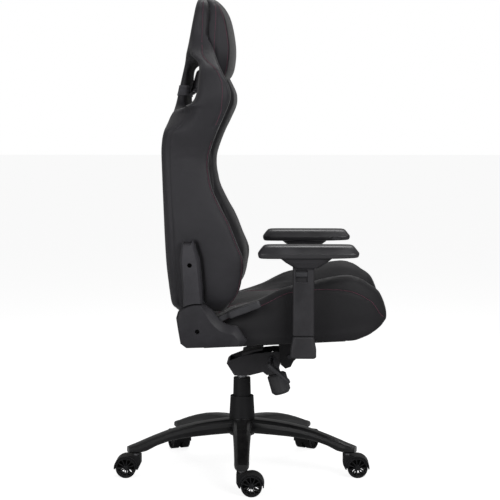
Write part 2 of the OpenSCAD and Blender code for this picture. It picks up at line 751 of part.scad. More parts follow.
module back_bracket_left() at_recliner() color(grey_plastic) difference() {
    loft([
        for (s = [[recliner_cover_y + crown, inset(bracket_edge, bracket_spot)],
            [recliner_cover_y, bracket_edge], [recliner_cover_y + 20, bracket_edge],
            [recliner_cover_y1, bracket_face],
            [recliner_cover_y1 + crown, inset(bracket_face, bracket_spot)]])
            [for (i = [0:len(s[1]) - 1]) [s[1][i][0], s[0], s[1][i][1]]]
    ]);
    rod_y(-20, 179, 6.4, recliner_cover_y - 1, recliner_cover_y1 + 2);
}

module back_bracket_right() on_right() back_bracket_left();

// ---------------------------------------------------------------- back

// Distance from the recline axis along x: share of the back's height, millimetres
rear_line = [[0.05, -67], [0.072, -76], [0.11, -81], [0.2, -90], [0.33, -96], [0.44, -101],
    [0.5, -103.5], [0.54, -103.5], [0.58, -98], [0.62, -85], [0.7, -67], [0.78, -50], [0.85, -36],
    [0.93, -22], [0.985, -11], [1, -2]];
panel_line = [[0.05, 38], [0.12, 31], [0.22, 23], [0.33, 10], [0.44, -4], [0.5, -8], [0.6, -10],
    [0.65, -14], [0.67, -38], [0.74, -37], [0.79, -32], [0.805, 1], [0.866, 27], [0.93, 32],
    [0.98, 25], [1, 9]];
wing_line = [[0.05, 67], [0.0765, 91], [0.105, 109], [0.149, 119], [0.204, 124], [0.258, 105],
    [0.311, 86], [0.368, 60], [0.415, 40], [0.455, 32], [0.49, 28.5], [0.526, 33], [0.587, 53],
    [0.631, 72], [0.671, 86], [0.7, 88], [0.72, 84], [0.772, 61], [0.8, 51], [0.836, 41],
    [0.86, 31], [0.875, 26]];
slot_low = 0.67;
strap_low = 0.697;
strap_high = strap_low + strap_h / back_h;
slot_high = 0.793;
wing_rear_line = [[0.05, -67], [0.648, -76], [0.662, -39], [0.672, -18], [0.69, -8], [0.72, -2],
    [0.78, 1], [0.79, -2], [0.8, -10], [0.815, -24], [0.836, -28], [0.86, -22], [0.875, -14]];

// Half widths of the back
half_line = [[0.05, hip_w / 2 - 42], [0.09, hip_w / 2 - 14], [0.2, hip_w / 2],
    [0.33, hip_w / 2 - 3], [0.5, waist_w / 2], [0.6, (waist_w + shoulder_w) / 4],
    [0.68, shoulder_w / 2], [0.72, shoulder_w / 2 - 2], [0.77, shoulder_w / 2 - 20],
    [0.8, shoulder_w / 2 - 52], [0.836, panel_half + 24], [0.86, panel_half + 11],
    [0.875, panel_half + 6]];
panel_half_line = [[0.05, panel_half - 10], [0.1, panel_half], [0.65, panel_half],
    [slot_low, spine_w / 2], [0.74, spine_w / 2], [slot_high, spine_w / 2], [0.812, panel_half - 4],
    [0.85, panel_half], [0.93, panel_half - 3], [0.97, panel_half - 18], [0.99, panel_half - 44],
    [1, panel_half - 76]];
back_stations = [0.05, 0.065, 0.09, 0.13, 0.19, 0.26, 0.33, 0.4, 0.47, 0.54, 0.58, 0.62, 0.65, 0.66,
    slot_low, strap_low, strap_high, 0.75, 0.79, 0.797, 0.806, 0.83, 0.866, 0.9, 0.94, 0.965, 0.985,
    0.995, 1];
wing_stations = [0.05, 0.062, 0.08, 0.105, 0.14, 0.18, 0.22, 0.27, 0.32, 0.37, 0.42, 0.46, 0.5,
    0.54, 0.58, 0.6, 0.62, 0.635, 0.648, 0.662, 0.672, 0.69, 0.72, 0.75, 0.78, 0.79, 0.8, 0.815,
    0.836, 0.86, 0.875];

function panel_half_at(share) = min(panel_half, curve(panel_half_line, share)) - gap / 2;

function panel_ring(share) =
    let (
        rear = curve(rear_line, share) + (share < 0.06 ? 8 : 0),
        front = curve(panel_line, share) - (share < 0.06 ? 8 : 0),
        half = panel_half_at(share)
    )
    [
        for (p = soft_outline([(rear + front) / 2, 0], [(front - rear) / 2, half], 0.34, 20))
            [p[0], p[1], share * back_h]
    ];

module back_cushion() color(upholstery) at_recliner() loft([for (share = back_stations) panel_ring(share)]);

// Wing: share of depth from rear to front, share of width from the panel out
wing_round = [[0.5, 0], [0.86, 0.012], [0.95, 0.08], [1, 0.3], [0.985, 0.55], [0.9, 0.8],
    [0.72, 0.94], [0.45, 1], [0.2, 0.97], [0.06, 0.86], [0, 0.6], [0.03, 0.2], [0.12, 0.012]];

function wing_ring(share) =
    let (
        rear = share < 0.65 ? curve(rear_line, share) + (share < 0.06 ? 8 : 0) : curve(wing_rear_line, share),
        front = curve(wing_line, share),
        inner = panel_half + gap / 2,
        half = share < 0.4 ? min(hip_w / 2, curve(half_line, share)) : curve(half_line, share),
        width = half - inner,
        slope = share < 0.655 ? 0.9 * max(0, min(1, (share - 0.59) / 0.06)) : 0
    )
    [
        for (p = wing_round)
            let (out = p[1] * (1 - slope * max(0, 1 - p[0] / 0.5)))
            [rear + p[0] * (front - rear), inner + out * width, share * back_h]
    ];

module back_wing_left() color(upholstery) at_recliner() loft([for (share = wing_stations) wing_ring(share)]);

module back_wing_right() on_right() back_wing_left();

// Head pillow, lying on the front of the head panel
pillow_front = [[0.743, 71], [0.76, 85], [0.788, 92], [0.832, 96], [0.873, 93], [0.933, 82],
    [0.965, 68], [0.984, 52]];
pillow_rear = [[0.743, 57], [0.76, 39], [0.788, 33], [0.832, 29], [0.866, 30], [0.93, 33.5],
    [0.965, 31.5], [0.984, 27.5]];
pillow_half = [[0.743, pillow_w / 2 - 60], [0.76, pillow_w / 2 - 24], [0.788, pillow_w / 2 - 7],
    [0.832, pillow_w / 2], [0.93, pillow_w / 2 - 4], [0.965, pillow_w / 2 - 18],
    [0.984, pillow_w / 2 - 50]];
pillow_stations = [0.743, 0.748, 0.76, 0.775, 0.79, 0.81, 0.832, 0.855, 0.88, 0.905, 0.93, 0.95,
    0.967, 0.979, 0.984];

function pillow_ring(share) =
    let (rear = curve(pillow_rear, share), front = curve(pillow_front, share))
    [for (p = soft_outline([(rear + front) / 2, 0], [(front - rear) / 2, curve(pillow_half, share)], 0.44, 20))
        [p[0], p[1], share * back_h]];

module head_pillow() color(upholstery) at_recliner() loft([for (share = pillow_stations) pillow_ring(share)]);

strap_t = 2;

// Band round the spine, a little off it, as two walls of rings
function band_ring(share, off) =
    let (rear = curve(rear_line, share), front = curve(panel_line, share), half = panel_half_at(share))
    [for (p = soft_outline([(rear + front) / 2, 0], [(front - rear) / 2 + off, half + off], 0.34, 20))
        [p[0], p[1], share * back_h]];

module strap_leg() {
    slab([[-32, back_h * strap_low + 3], [-29, back_h * strap_low + 3], [-12, back_h * 0.776],
        [37, back_h * 0.765], [37, back_h * 0.768], [-13.4, back_h * 0.779]], 52, 52 + strap_h);
}

module pillow_strap() color(black_plastic) at_recliner() {
    difference() {
        loft([band_ring(strap_low, gap + strap_t), band_ring(strap_high, gap + strap_t)]);
        loft([band_ring(strap_low - 0.0005, gap), band_ring(strap_high + 0.0005, gap)]);
    }
    for (s = [0, 1]) mirror([0, s, 0]) difference() {
        strap_leg();
        loft([band_ring(strap_low - 0.002, gap + 1), band_ring(strap_high + 0.004, gap + 1)]);
    }
}

// ---------------------------------------------------------------- armrests

arm_y = arm_spacing / 2;
bracket_t = 6;
bracket_w = 50;
core_w = 36;
core_d = 15;
core_top = post_foot + 120;
collar_top = post_foot - 2;
collar_foot = collar_top - 58;
slot_gap = 0.4;

// Upright round bar of rounded-rectangle section, as rings at heights with half sizes
module post_loft(levels, power = 0.3)
    loft([
        for (v = levels)
            [for (p = soft_outline([arm_x, arm_y], [v[1], v[2]], power, 24)) [p[0], p[1], v[0]]]
    ]);

module core_box(grow, z0, z1)
    translate([arm_x - core_w / 2 - grow, arm_y - core_d / 2 - grow, z0])
        cube([core_w + 2 * grow, core_d + 2 * grow, z1 - z0]);

// Steel bar under the seat board with the upright that the post slides on
module arm_bracket() color(dark_steel) difference() {
    union() {
        on_seat() translate([arm_x - bracket_w / 2, arm_bolt_y[0] - 18, -bracket_t])
            cube([bracket_w, arm_y - arm_bolt_y[0] + 18, bracket_t]);
        core_box(0, seat_z - 5, core_top);
    }
    on_seat() for (y = arm_bolt_y) translate([arm_x, y, -20]) cylinder(r = bolt_hole_r, h = 40);
}

module arm_collar() color(black_plastic) difference() {
    post_loft([[collar_foot, 30, 15], [collar_foot + 4, 34.5, 19], [collar_foot + 24, 34.5, 19],
        [collar_top - 3, 28.5, 17], [collar_top, 27, 16]]);
    core_box(slot_gap, collar_foot + 5, collar_top + 1);
    on_seat() translate([arm_x - bracket_w / 2 - slot_gap, 0, -bracket_t - slot_gap])
        cube([bracket_w + 2 * slot_gap, arm_y + core_d / 2 + slot_gap, bracket_t + 2 * slot_gap]);
}

button_x = arm_x - 5;
button_z = post_top - 22;

module arm_post() color(black_plastic) difference() {
    post_loft([[post_foot, post_w / 2 - 1.5, post_d / 2 - 1.5], [post_foot + 3, post_w / 2, post_d / 2],
        [post_top, post_w / 2, post_d / 2]]);
    core_box(slot_gap, post_foot - 1, core_top + 15);
    translate([button_x - 16, arm_y + post_d / 2 - 7, post_top - 38]) cube([32, 20, 34]);
}

// Latch under the post's head, pulled up with a finger in the scoop below it
module arm_button() color(grey_plastic) {
    translate([button_x - 15, arm_y + post_d / 2 - 7 + gap, button_z]) cube([30, 6, 11]);
    translate([button_x - 15, arm_y + post_d / 2 - 7 + gap, button_z]) cube([30, 8, 3.5]);
}

slider_top = post_top + 13;
rotor_top = slider_top + 13;

module arm_slider() color(black_plastic) translate([7, 0, 0])
    post_loft([[post_top + gap, 33, 24], [post_top + 4, 37.5, 27], [slider_top, 52, 32]], 0.4);

module arm_rotor() color(black_plastic) translate([7, 0, 0])
    post_loft([[slider_top + gap, 53, 33], [rotor_top, 69.5, 38]], 0.4);

pad_z0 = rotor_top + gap;
pad_x = arm_x + 13;
pad_power = 0.28;
pad_button_x = pad_x + pad_l / 2 - 42;

module arm_pad() color(black_plastic) difference() {
    translate([pad_x - arm_x, 0, 0]) post_loft([
        [pad_z0, pad_l / 2 - 6, pad_w / 2 - 5], [pad_z0 + 3, pad_l / 2 - 1.5, pad_w / 2 - 1.5],
        [pad_z0 + 13, pad_l / 2, pad_w / 2], [pad_top - 13, pad_l / 2 - 5, pad_w / 2 - 2],
        [pad_top - 4, pad_l / 2 - 16, pad_w / 2 - 7], [pad_top, pad_l / 2 - 22, pad_w / 2 - 13]], pad_power);
    translate([pad_button_x - 13, arm_y - pad_w / 2 - 5, pad_z0 + 4]) cube([26, 15, 8]);
}

module pad_button() color(grey_plastic)
    translate([pad_button_x - 13 + gap, arm_y - pad_w / 2 - 0.5, pad_z0 + 4 + gap])
        cube([26 - 2 * gap, 7, 8 - 2 * gap]);

// ---------------------------------------------------------------- nodes

placed() star_base();
placed() castor_stems();
placed() gas_column();
placed() cover_lower();
placed() at_castor(0) castor_hood();  // castor_hood_1
placed() at_castor(1) castor_hood();  // castor_hood_2
placed() at_castor(2) castor_hood();  // castor_hood_3
placed() at_castor(3) castor_hood();  // castor_hood_4
placed() at_castor(4) castor_hood();  // castor_hood_5
placed() at_castor(0) castor_wheels();  // castor_wheels_1
placed() at_castor(1) castor_wheels();  // castor_wheels_2
placed() at_castor(2) castor_wheels();  // castor_wheels_3
placed() at_castor(3) castor_wheels();  // castor_wheels_4
placed() at_castor(4) castor_wheels();  // castor_wheels_5
placed() piston_rod();
placed() retaining_clip();
placed() cover_middle();
placed() gas_spring();
placed() cover_upper();
placed() mechanism_housing();
placed() tilt_pin();
placed() tension_bolt();
placed() tension_knob();
placed() lever_bush();
placed() height_lever();
placed() seat_plate();
placed() seat_board();
placed() seat_bolts();
placed() seat_cushion();
placed() seat_bolster_right();
placed() seat_bolster_left();
placed() recliner_plates();
placed() recliner_cover_right();
placed() recliner_cover_left();
placed() cross_rod();
placed() recline_lever();
placed() back_arms();
placed() back_bracket_right();
placed() back_bracket_left();
placed() back_cushion();
placed() back_wing_right();
placed() back_wing_left();
placed() head_pillow();
placed() pillow_strap();
placed() on_right() arm_bracket();  // arm_bracket_right
placed() on_right() arm_collar();  // arm_collar_right
placed() on_right() arm_post();  // arm_post_right
placed() on_right() arm_button();  // arm_button_right
placed() on_right() arm_slider();  // arm_slider_right
placed() on_right() arm_rotor();  // arm_rotor_right
placed() on_right() arm_pad();  // arm_pad_right
placed() on_right() pad_button();  // pad_button_right
placed() arm_bracket();  // arm_bracket_left
placed() arm_collar();  // arm_collar_left
placed() arm_post();  // arm_post_left
placed() arm_button();  // arm_button_left
placed() arm_slider();  // arm_slider_left
placed() arm_rotor();  // arm_rotor_left
placed() arm_pad();  // arm_pad_left
placed() pad_button();  // pad_button_left
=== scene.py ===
import math

import bpy
import numpy as np
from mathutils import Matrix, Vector
from mathutils.bvhtree import BVHTree
from mathutils.kdtree import KDTree


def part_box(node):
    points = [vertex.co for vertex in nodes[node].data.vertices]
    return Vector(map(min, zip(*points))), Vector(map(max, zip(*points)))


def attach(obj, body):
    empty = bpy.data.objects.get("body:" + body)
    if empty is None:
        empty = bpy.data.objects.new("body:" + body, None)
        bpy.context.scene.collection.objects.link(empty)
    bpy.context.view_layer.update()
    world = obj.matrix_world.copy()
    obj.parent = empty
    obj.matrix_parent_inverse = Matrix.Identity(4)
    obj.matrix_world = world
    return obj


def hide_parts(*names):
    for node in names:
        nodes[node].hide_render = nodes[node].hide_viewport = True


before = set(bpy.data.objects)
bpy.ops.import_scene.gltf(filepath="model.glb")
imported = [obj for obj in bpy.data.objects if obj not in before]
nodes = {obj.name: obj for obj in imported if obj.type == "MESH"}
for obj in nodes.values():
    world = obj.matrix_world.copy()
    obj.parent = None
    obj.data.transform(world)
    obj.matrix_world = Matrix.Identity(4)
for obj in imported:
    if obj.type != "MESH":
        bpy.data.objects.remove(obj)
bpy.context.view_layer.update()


# ---- five-arm base
# Pressed and welded steel arms on a turned hub, sprayed with glossy black enamel.
# The castors' stems press into the bosses at the arms' ends, the gas column into the hub.

def new_group(name, inputs, outputs):
    """Shader node group with named float inputs and named outputs."""
    group = bpy.data.node_groups.new(name, "ShaderNodeTree")
    for label, value in inputs.items():
        socket = group.interface.new_socket(label, in_out="INPUT", socket_type="NodeSocketFloat")
        socket.default_value = value
    for label, kind in outputs.items():
        group.interface.new_socket(label, in_out="OUTPUT", socket_type="NodeSocket" + kind)
    return group, group.nodes.new("NodeGroupInput").outputs, group.nodes.new("NodeGroupOutput")


def feed(node, inputs):
    """Gives a node's inputs, by name or number, another node's output or a plain value."""
    for name, source in inputs.items():
        if isinstance(source, bpy.types.NodeSocket):
            node.id_data.links.new(source, node.inputs[name])
        else:
            node.inputs[name].default_value = source
    return node


def assign(thing, **settings):
    for name, value in settings.items():
        setattr(thing, name, value)
    return thing


def put(tree, kind, inputs={}, **settings):
    """Adds a shader node with its settings and inputs."""
    return feed(assign(tree.nodes.new("ShaderNode" + kind), **settings), inputs)


def maths(tree, operation, a, b, clamp=False):
    return put(tree, "Math", {0: a, 1: b}, operation=operation, use_clamp=clamp).outputs[0]


def spread(tree, value, low, high, to_low=0.0, to_high=1.0):
    """Straight ramp from low..high to to_low..to_high, clamped."""
    return put(tree, "MapRange", {"Value": value, "From Min": low, "From Max": high,
                                  "To Min": to_low, "To Max": to_high}).outputs["Result"]


def noise(tree, scale, detail, roughness):
    """Cloudy noise fixed to the piece."""
    place = put(tree, "TexCoord").outputs["Object"]
    return put(tree, "TexNoise", {"Vector": place, "Scale": scale, "Detail": detail,
                                  "Roughness": roughness}).outputs


def build_moulded_grain():
    """Fine grain of paint and moulded plastic, and slow drift of its tone."""
    group, given, result = new_group("moulded_grain", {"Grain mm": 0.6, "Drift mm": 60.0},
                                     {"Height": "Float", "Drift": "Float"})
    grain = noise(group, maths(group, "DIVIDE", 1000.0, given["Grain mm"]), 2.0, 0.55)
    drift = noise(group, maths(group, "DIVIDE", 1000.0, given["Drift mm"]), 3.0, 0.6)
    feed(result, {"Height": grain["Fac"], "Drift": spread(group, drift["Fac"], 0.3, 0.7)})
    return group


def build_edge_wear():
    """Mask of rubbed edges and the rounded normal of an edge."""
    group, given, result = new_group("edge_wear", {"Radius mm": 0.8, "Strength": 3.0},
                                     {"Mask": "Float", "Normal": "Vector"})
    radius = maths(group, "DIVIDE", given["Radius mm"], 1000.0)
    rounded = put(group, "Bevel", {"Radius": radius}, samples=4).outputs[0]
    flat = put(group, "NewGeometry").outputs["Normal"]
    turn = put(group, "VectorMath", {0: rounded, 1: flat}, operation="DOT_PRODUCT").outputs["Value"]
    bend = maths(group, "MULTIPLY", maths(group, "SUBTRACT", 1.0, turn), given["Strength"])
    broken = spread(group, noise(group, 90.0, 4.0, 0.7)["Fac"], 0.38, 0.62)
    feed(result, {"Mask": maths(group, "MULTIPLY", bend, broken, clamp=True), "Normal": rounded})
    return group


def build_settled_dust():
    """Mask of thin dust on faces that look up."""
    group, given, result = new_group("settled_dust", {"Amount": 0.2}, {"Mask": "Float"})
    normal = put(group, "NewGeometry").outputs["Normal"]
    upward = spread(group, put(group, "SeparateXYZ", {"Vector": normal}).outputs["Z"], 0.45, 1.0)
    cloud = spread(group, noise(group, 35.0, 5.0, 0.65)["Fac"], 0.35, 0.75)
    lying = maths(group, "MULTIPLY", upward, cloud)
    feed(result, {"Mask": maths(group, "MULTIPLY", lying, given["Amount"])})
    return group


moulded_grain = build_moulded_grain()
edge_wear = build_edge_wear()
settled_dust = build_settled_dust()


def linear(colour):
    """Linear colour of a 0-255 display colour."""
    parts = [c / 255 for c in colour]
    return tuple(c / 12.92 if c <= 0.04045 else ((c + 0.055) / 1.055) ** 2.4 for c in parts) + (1.0,)


def times(colour, factor):
    """Deeper or lighter version of a linear colour."""
    return tuple(min(1.0, c * factor) for c in colour[:3]) + (1.0,)


def blended(tree, share, first, second):
    """Mix of two colours, each a colour or the output of another mix."""
    return put(tree, "Mix", {"Factor": share, 6: first, 7: second}, data_type="RGBA").outputs[2]


def drifting(tree, share, colour, drift):
    """Colour that wanders a little to either side of its tone."""
    return blended(tree, share, times(colour, 1 - drift), times(colour, 1 + drift))


dust_colour = linear((150, 146, 140))


def bump(tree, inputs, depth_mm):
    return put(tree, "Bump", {"Strength": 1.0, "Distance": depth_mm / 1000, **inputs}).outputs["Normal"]


def new_material(name):
    material = bpy.data.materials.new(name)
    material.use_nodes = True
    return material, material.node_tree, material.node_tree.nodes["Principled BSDF"]


def hard_finish(name, colour, rough, metal=0.0, drift=0.16, grain_mm=0.6, depth_mm=0.05,
                rubbed=(120, 120, 124), wear=1.5, radius_mm=0.8, dust=0.05,
                coat=0.0, coat_rough=0.12, shine=0.3):
    """Painted metal, bare metal or moulded plastic."""
    material, tree, shader = new_material(name)
    grain = put(tree, "Group", {"Grain mm": grain_mm, "Drift mm": 55.0}, node_tree=moulded_grain).outputs
    edges = put(tree, "Group", {"Radius mm": radius_mm, "Strength": wear}, node_tree=edge_wear).outputs
    powder = put(tree, "Group", {"Amount": dust}, node_tree=settled_dust).outputs["Mask"]
    tone = drifting(tree, grain["Drift"], linear(colour), drift)
    tone = blended(tree, edges["Mask"], tone, linear(rubbed))
    tone = blended(tree, powder, tone, dust_colour)
    polish = spread(tree, grain["Drift"], 0.0, 1.0, rough * 0.85, min(1.0, rough * 1.15))
    dulled = maths(tree, "ADD", polish, maths(tree, "MULTIPLY", powder, 0.5), clamp=True)
    relief = bump(tree, {"Height": grain["Height"], "Normal": edges["Normal"]}, depth_mm)
    feed(shader, {"Base Color": tone, "Metallic": metal, "Roughness": dulled, "Normal": relief,
                  "Specular IOR Level": shine, "Coat Weight": coat, "Coat Roughness": coat_rough})
    return material


def dress(material, *names):
    """Gives CAD nodes their finish."""
    for name in names:
        nodes[name].data.materials.clear()
        nodes[name].data.materials.append(material)


black_enamel = hard_finish("black_enamel", (16, 16, 18), 0.4, grain_mm=3.0, depth_mm=0.03,
                           coat=0.9, coat_rough=0.26, radius_mm=1.2, wear=0.8, rubbed=(60, 60, 64))
dress(black_enamel, "star_base")


# ---- castors
# Twin-wheel furniture castors: nylon hood and fork, spoked nylon wheels with a smooth tread.
# Each hood turns on a steel stem in the arm's boss, and the wheels clip on one axle.

castor_nylon = hard_finish("castor_nylon", (24, 24, 26), 0.42, grain_mm=0.5, depth_mm=0.03, dust=0.12)
wheel_nylon = hard_finish("wheel_nylon", (29, 29, 31), 0.38, grain_mm=0.7, depth_mm=0.03, dust=0.1)
zinc_steel = hard_finish("zinc_steel", (168, 168, 172), 0.32, metal=1.0, grain_mm=0.35, depth_mm=0.015,
                         rubbed=(200, 200, 204), wear=0.8, dust=0.04)
dress(zinc_steel, "castor_stems")
for i in range(1, 6):
    dress(castor_nylon, f"castor_hood_{i}")
    dress(wheel_nylon, f"castor_wheels_{i}")


# ---- gas lift and its covers
# Painted steel column in the hub's taper, chromed rod, bright gas spring, and three sleeves
# of polypropylene that slide over one another as the seat rises.

column_paint = hard_finish("column_paint", (54, 54, 56), 0.35, grain_mm=0.8, depth_mm=0.02)
sleeve_plastic = hard_finish("sleeve_plastic", (28, 28, 30), 0.5, grain_mm=0.5, depth_mm=0.04, dust=0.08)
chrome = hard_finish("chrome", (205, 206, 210), 0.1, metal=1.0, grain_mm=0.4, depth_mm=0.004,
                     rubbed=(225, 225, 228), wear=0.4, dust=0.0)
dress(column_paint, "gas_column")
dress(sleeve_plastic, "cover_lower", "cover_middle", "cover_upper")
dress(chrome, "piston_rod")
dress(zinc_steel, "retaining_clip", "gas_spring")


# ---- tilt mechanism
# Pressed steel housing on the spring's taper, with a cross pin that carries the seat plate.
# The ribbed knob runs on the tension bolt; the flat paddle is the end of the height lever.

mechanism_paint = hard_finish("mechanism_paint", (60, 59, 62), 0.45, grain_mm=0.9, dust=0.06)
plate_paint = hard_finish("plate_paint", (34, 33, 36), 0.42, grain_mm=0.9, depth_mm=0.04)
knob_plastic = hard_finish("knob_plastic", (78, 78, 80), 0.5, grain_mm=0.5)
lever_plastic = hard_finish("lever_plastic", (66, 66, 69), 0.42, grain_mm=0.5, depth_mm=0.03)
dress(mechanism_paint, "mechanism_housing")
black_steel = hard_finish("black_steel", (74, 74, 78), 0.38, metal=0.9, grain_mm=0.4, depth_mm=0.015,
                          wear=0.8, dust=0.04)
dress(black_steel, "tilt_pin", "tension_bolt", "lever_bush")
dress(knob_plastic, "tension_knob")
dress(lever_plastic, "height_lever")


# ---- seat plate and board
# Folded steel plate bolted from below to the plywood board that carries the foam. The board
# is wrapped in black lining cloth.

lining = hard_finish("lining", (30, 29, 31), 0.8, grain_mm=0.8, depth_mm=0.12, drift=0.25,
                     rubbed=(52, 50, 52), dust=0.1, shine=0.15)
dress(plate_paint, "seat_plate")
dress(lining, "seat_board")
dress(black_steel, "seat_bolts")


# ---- seat upholstery
# Moulded foam on the board under one sewn cover: a centre panel and two tall bolsters.
# The panels are joined by seams with a row of thread beside them.

MM = 0.001
swivel_x = -0.0185
tilt_x, seat_z, seat_pitch = 0.1195, 0.4005, math.radians(3)
seat_back_x, seat_len = -98.0, 506.0
seat_half, board_half, panel_half = 264.0, 250.0, 152.0
board_end = 0.7669
bolster_h, pan_h = 191.0, 118.0
seat_shares = np.concatenate([np.linspace(0, board_end, 46), np.linspace(board_end + 0.002, 1, 24)])
crest_line = [[0, .443], [.07, .448], [.105, .467], [.154, .545], [.253, .618], [.322, .68],
              [.391, .764], [.45, .826], [.53, .866], [.589, .889], [.668, .929], [.747, .956],
              [.806, .955], [.8755, .885], [.905, .825], [.964, .696], [.99, .535], [1, .42]]
pan_line = [[0, .7], [.06, .745], [.1, .88], [.154, .975], [.32, .97], [.59, .935], [.79, .91],
            [.88, .87], [.95, .74], [.985, .56], [1, .44]]
underside_line = [[0, 0], [.6, 0], [.8, .5], [.885, 12], [.93, 24], [.968, 36], [1, 55]]
def within(value):
    """Kept between 0 and 1."""
    return np.clip(value, 0, 1)
def curve(pairs, key):
    """Smooth curve through [key, value] pairs, read at key."""
    i = 0
    while i < len(pairs) - 2 and key >= pairs[i + 1][0]:
        i += 1
    before, low = pairs[max(i - 1, 0)], pairs[i]
    high, after = pairs[i + 1], pairs[min(i + 2, len(pairs) - 1)]
    width = high[0] - low[0]
    s = (key - low[0]) / width
    slope_low = (high[1] - before[1]) / (high[0] - before[0]) * width
    slope_high = (after[1] - low[1]) / (after[0] - low[0]) * width
    return ((2 * s**3 - 3 * s**2 + 1) * low[1] + (s**3 - 2 * s**2 + s) * slope_low
            + (3 * s**2 - 2 * s**3) * high[1] + (s**3 - s**2) * slope_high)


def rounded_ring(points, steps=4):
    """Closed smooth ring through points, with steps points for each of them."""
    ring = []
    count = len(points)
    for i in range(count):
        a, b, c, d = (np.array(points[(i + k) % count], float) for k in (-1, 0, 1, 2))
        for k in range(steps):
            t = k / steps
            ring.append(0.5 * (2 * b + (c - a) * t + (2 * a - 5 * b + 4 * c - d) * t**2
                               + (3 * b - a - 3 * c + d) * t**3))
    return ring


def lofted(rings, closed=False):
    """Points and faces of a form through rings of equal count, capped at its ends or closed on itself."""
    count, last = len(rings[0]), len(rings) - 1
    points = [tuple(p) for ring in rings for p in ring]
    faces = [(j * count + i, j * count + (i + 1) % count, k * count + (i + 1) % count, k * count + i)
             for j in range(last + closed) for k in [(j + 1) % len(rings)] for i in range(count)]
    if not closed:
        faces.append(tuple(range(count - 1, -1, -1)))
        faces.append(tuple(last * count + i for i in range(count)))
    return points, faces


scene = bpy.context.scene


def new_object(name, data):
    thing = bpy.data.objects.new(name, data)
    scene.collection.objects.link(thing)
    return thing


def new_piece(name, forms, material=None):
    """One object from several closed forms; with a material it is smooth and finished."""
    points, faces = [], []
    for form_points, form_faces in forms:
        start = len(points)
        points += form_points
        faces += [tuple(i + start for i in face) for face in form_faces]
    mesh = bpy.data.meshes.new(name)
    mesh.from_pydata(points, [], faces)
    mesh.update()
    if material:
        mesh.shade_smooth()
        mesh.materials.append(material)
    return new_object(name, mesh)


def shape_of(mesh):
    """Points and normals of a mesh."""
    values = np.empty(len(mesh.vertices) * 3)
    found = []
    for what in ("co", "normal"):
        mesh.vertices.foreach_get(what, values)
        found.append(values.reshape(-1, 3).copy())
    return found


def set_points(mesh, co):
    mesh.vertices.foreach_set("co", np.asarray(co).ravel())
    mesh.update()


def modify(piece, kind, **settings):
    return assign(piece.modifiers.new(kind.lower(), kind), **settings)


def evaluated(piece):
    """The piece with its modifiers applied."""
    return piece.evaluated_get(bpy.context.evaluated_depsgraph_get())


def settle(piece):
    """Makes a piece's modifiers part of its mesh."""
    mesh = bpy.data.meshes.new_from_object(evaluated(piece))
    piece.modifiers.clear()
    piece.vertex_groups.clear()
    piece.data = mesh
    mesh.name = piece.name


def one_skin(piece, voxel_mm, rounds):
    """Joins overlapping forms into one even skin."""
    modify(piece, "REMESH", mode="VOXEL", voxel_size=voxel_mm * MM)
    modify(piece, "SMOOTH", factor=0.5, iterations=rounds)
    settle(piece)


def dense_line(points, step_mm=1.5):
    """Points along a line, a small step apart."""
    points = [np.array(p, float) for p in points]
    out = []
    for a, b in zip(points[:-1], points[1:]):
        count = max(1, int(np.linalg.norm(b - a) / (step_mm * MM)))
        out += [a + (b - a) * k / count for k in range(count)]
    return out + [points[-1]]


def gap_to(lines, co):
    """Distance of each point from the nearest line."""
    spots = [p for line in lines for p in dense_line(line)]
    tree = KDTree(len(spots))
    for i, spot in enumerate(spots):
        tree.insert(spot, i)
    tree.balance()
    return np.array([tree.find(p)[2] for p in co])


def fading(gap, width_mm):
    """1 on a line, fading out over a width."""
    return np.exp(-(gap / (width_mm * MM)) ** 2)


def weigh(piece, name, weights, least):
    """Vertex group of the points that weigh more than the least."""
    group = piece.vertex_groups.new(name=name)
    for i, weight in enumerate(weights):
        if weight > least:
            group.add([i], float(weight), "REPLACE")


def stuffed(piece, seams, cap_mm, shrink_mm, firm, seam_width_mm=9.0, frames=20):
    """Fills a sewn cover: pressure swells it between its seams, up to a cap; firm spots don't move."""
    mesh = piece.data
    co, no = shape_of(mesh)
    gap = gap_to(seams, co)
    held = within(np.maximum(fading(gap, seam_width_mm), firm(co)))
    co = co - no * (shrink_mm * MM * (1 - firm(co)))[:, None]
    set_points(mesh, co)
    weigh(piece, "sewn", held, 0.02)
    cloth = modify(piece, "CLOTH")
    rules = assign(cloth.settings, quality=4, use_pressure=True, uniform_pressure_force=4.0)
    rules.effector_weights.gravity = 0.0
    rules.vertex_group_mass = "sewn"
    cloth.point_cache.frame_start, cloth.point_cache.frame_end = 1, frames
    for step in range(1, frames + 1):
        scene.frame_set(step)
    swollen = evaluated(piece)
    move = shape_of(swollen.to_mesh())[0] - co
    swollen.to_mesh_clear()
    size = np.linalg.norm(move, axis=1)
    limit = cap_mm * MM * (1 - held)
    move *= np.where(size > limit, limit / np.maximum(size, 1e-9), 1.0)[:, None]
    piece.modifiers.remove(cloth)
    piece.vertex_groups.clear()
    scene.frame_set(1)
    set_points(mesh, co + move)


def finer(piece):
    modify(piece, "SMOOTH", factor=0.5, iterations=2)
    modify(piece, "SUBSURF", levels=1)
    settle(piece)
    piece.data.shade_smooth()


def surface_of(piece):
    return BVHTree.FromObject(piece, bpy.context.evaluated_depsgraph_get())


def laid_on(surface, line, lift_mm=0.0, step_mm=1.5):
    """A line moved onto the surface; also its normals there."""
    spots, normals = [], []
    for p in dense_line(line, step_mm):
        place, normal, _, _ = surface.find_nearest(Vector(p))
        spots.append(np.array(place) + np.array(normal) * lift_mm * MM)
        normals.append(np.array(normal))
    spots, normals = np.array(spots), np.array(normals)
    for _ in range(4):
        for run in (spots, normals):
            run[1:-1] = (run[:-2] + 2 * run[1:-1] + run[2:]) / 4
    return spots, normals / np.linalg.norm(normals, axis=1)[:, None]


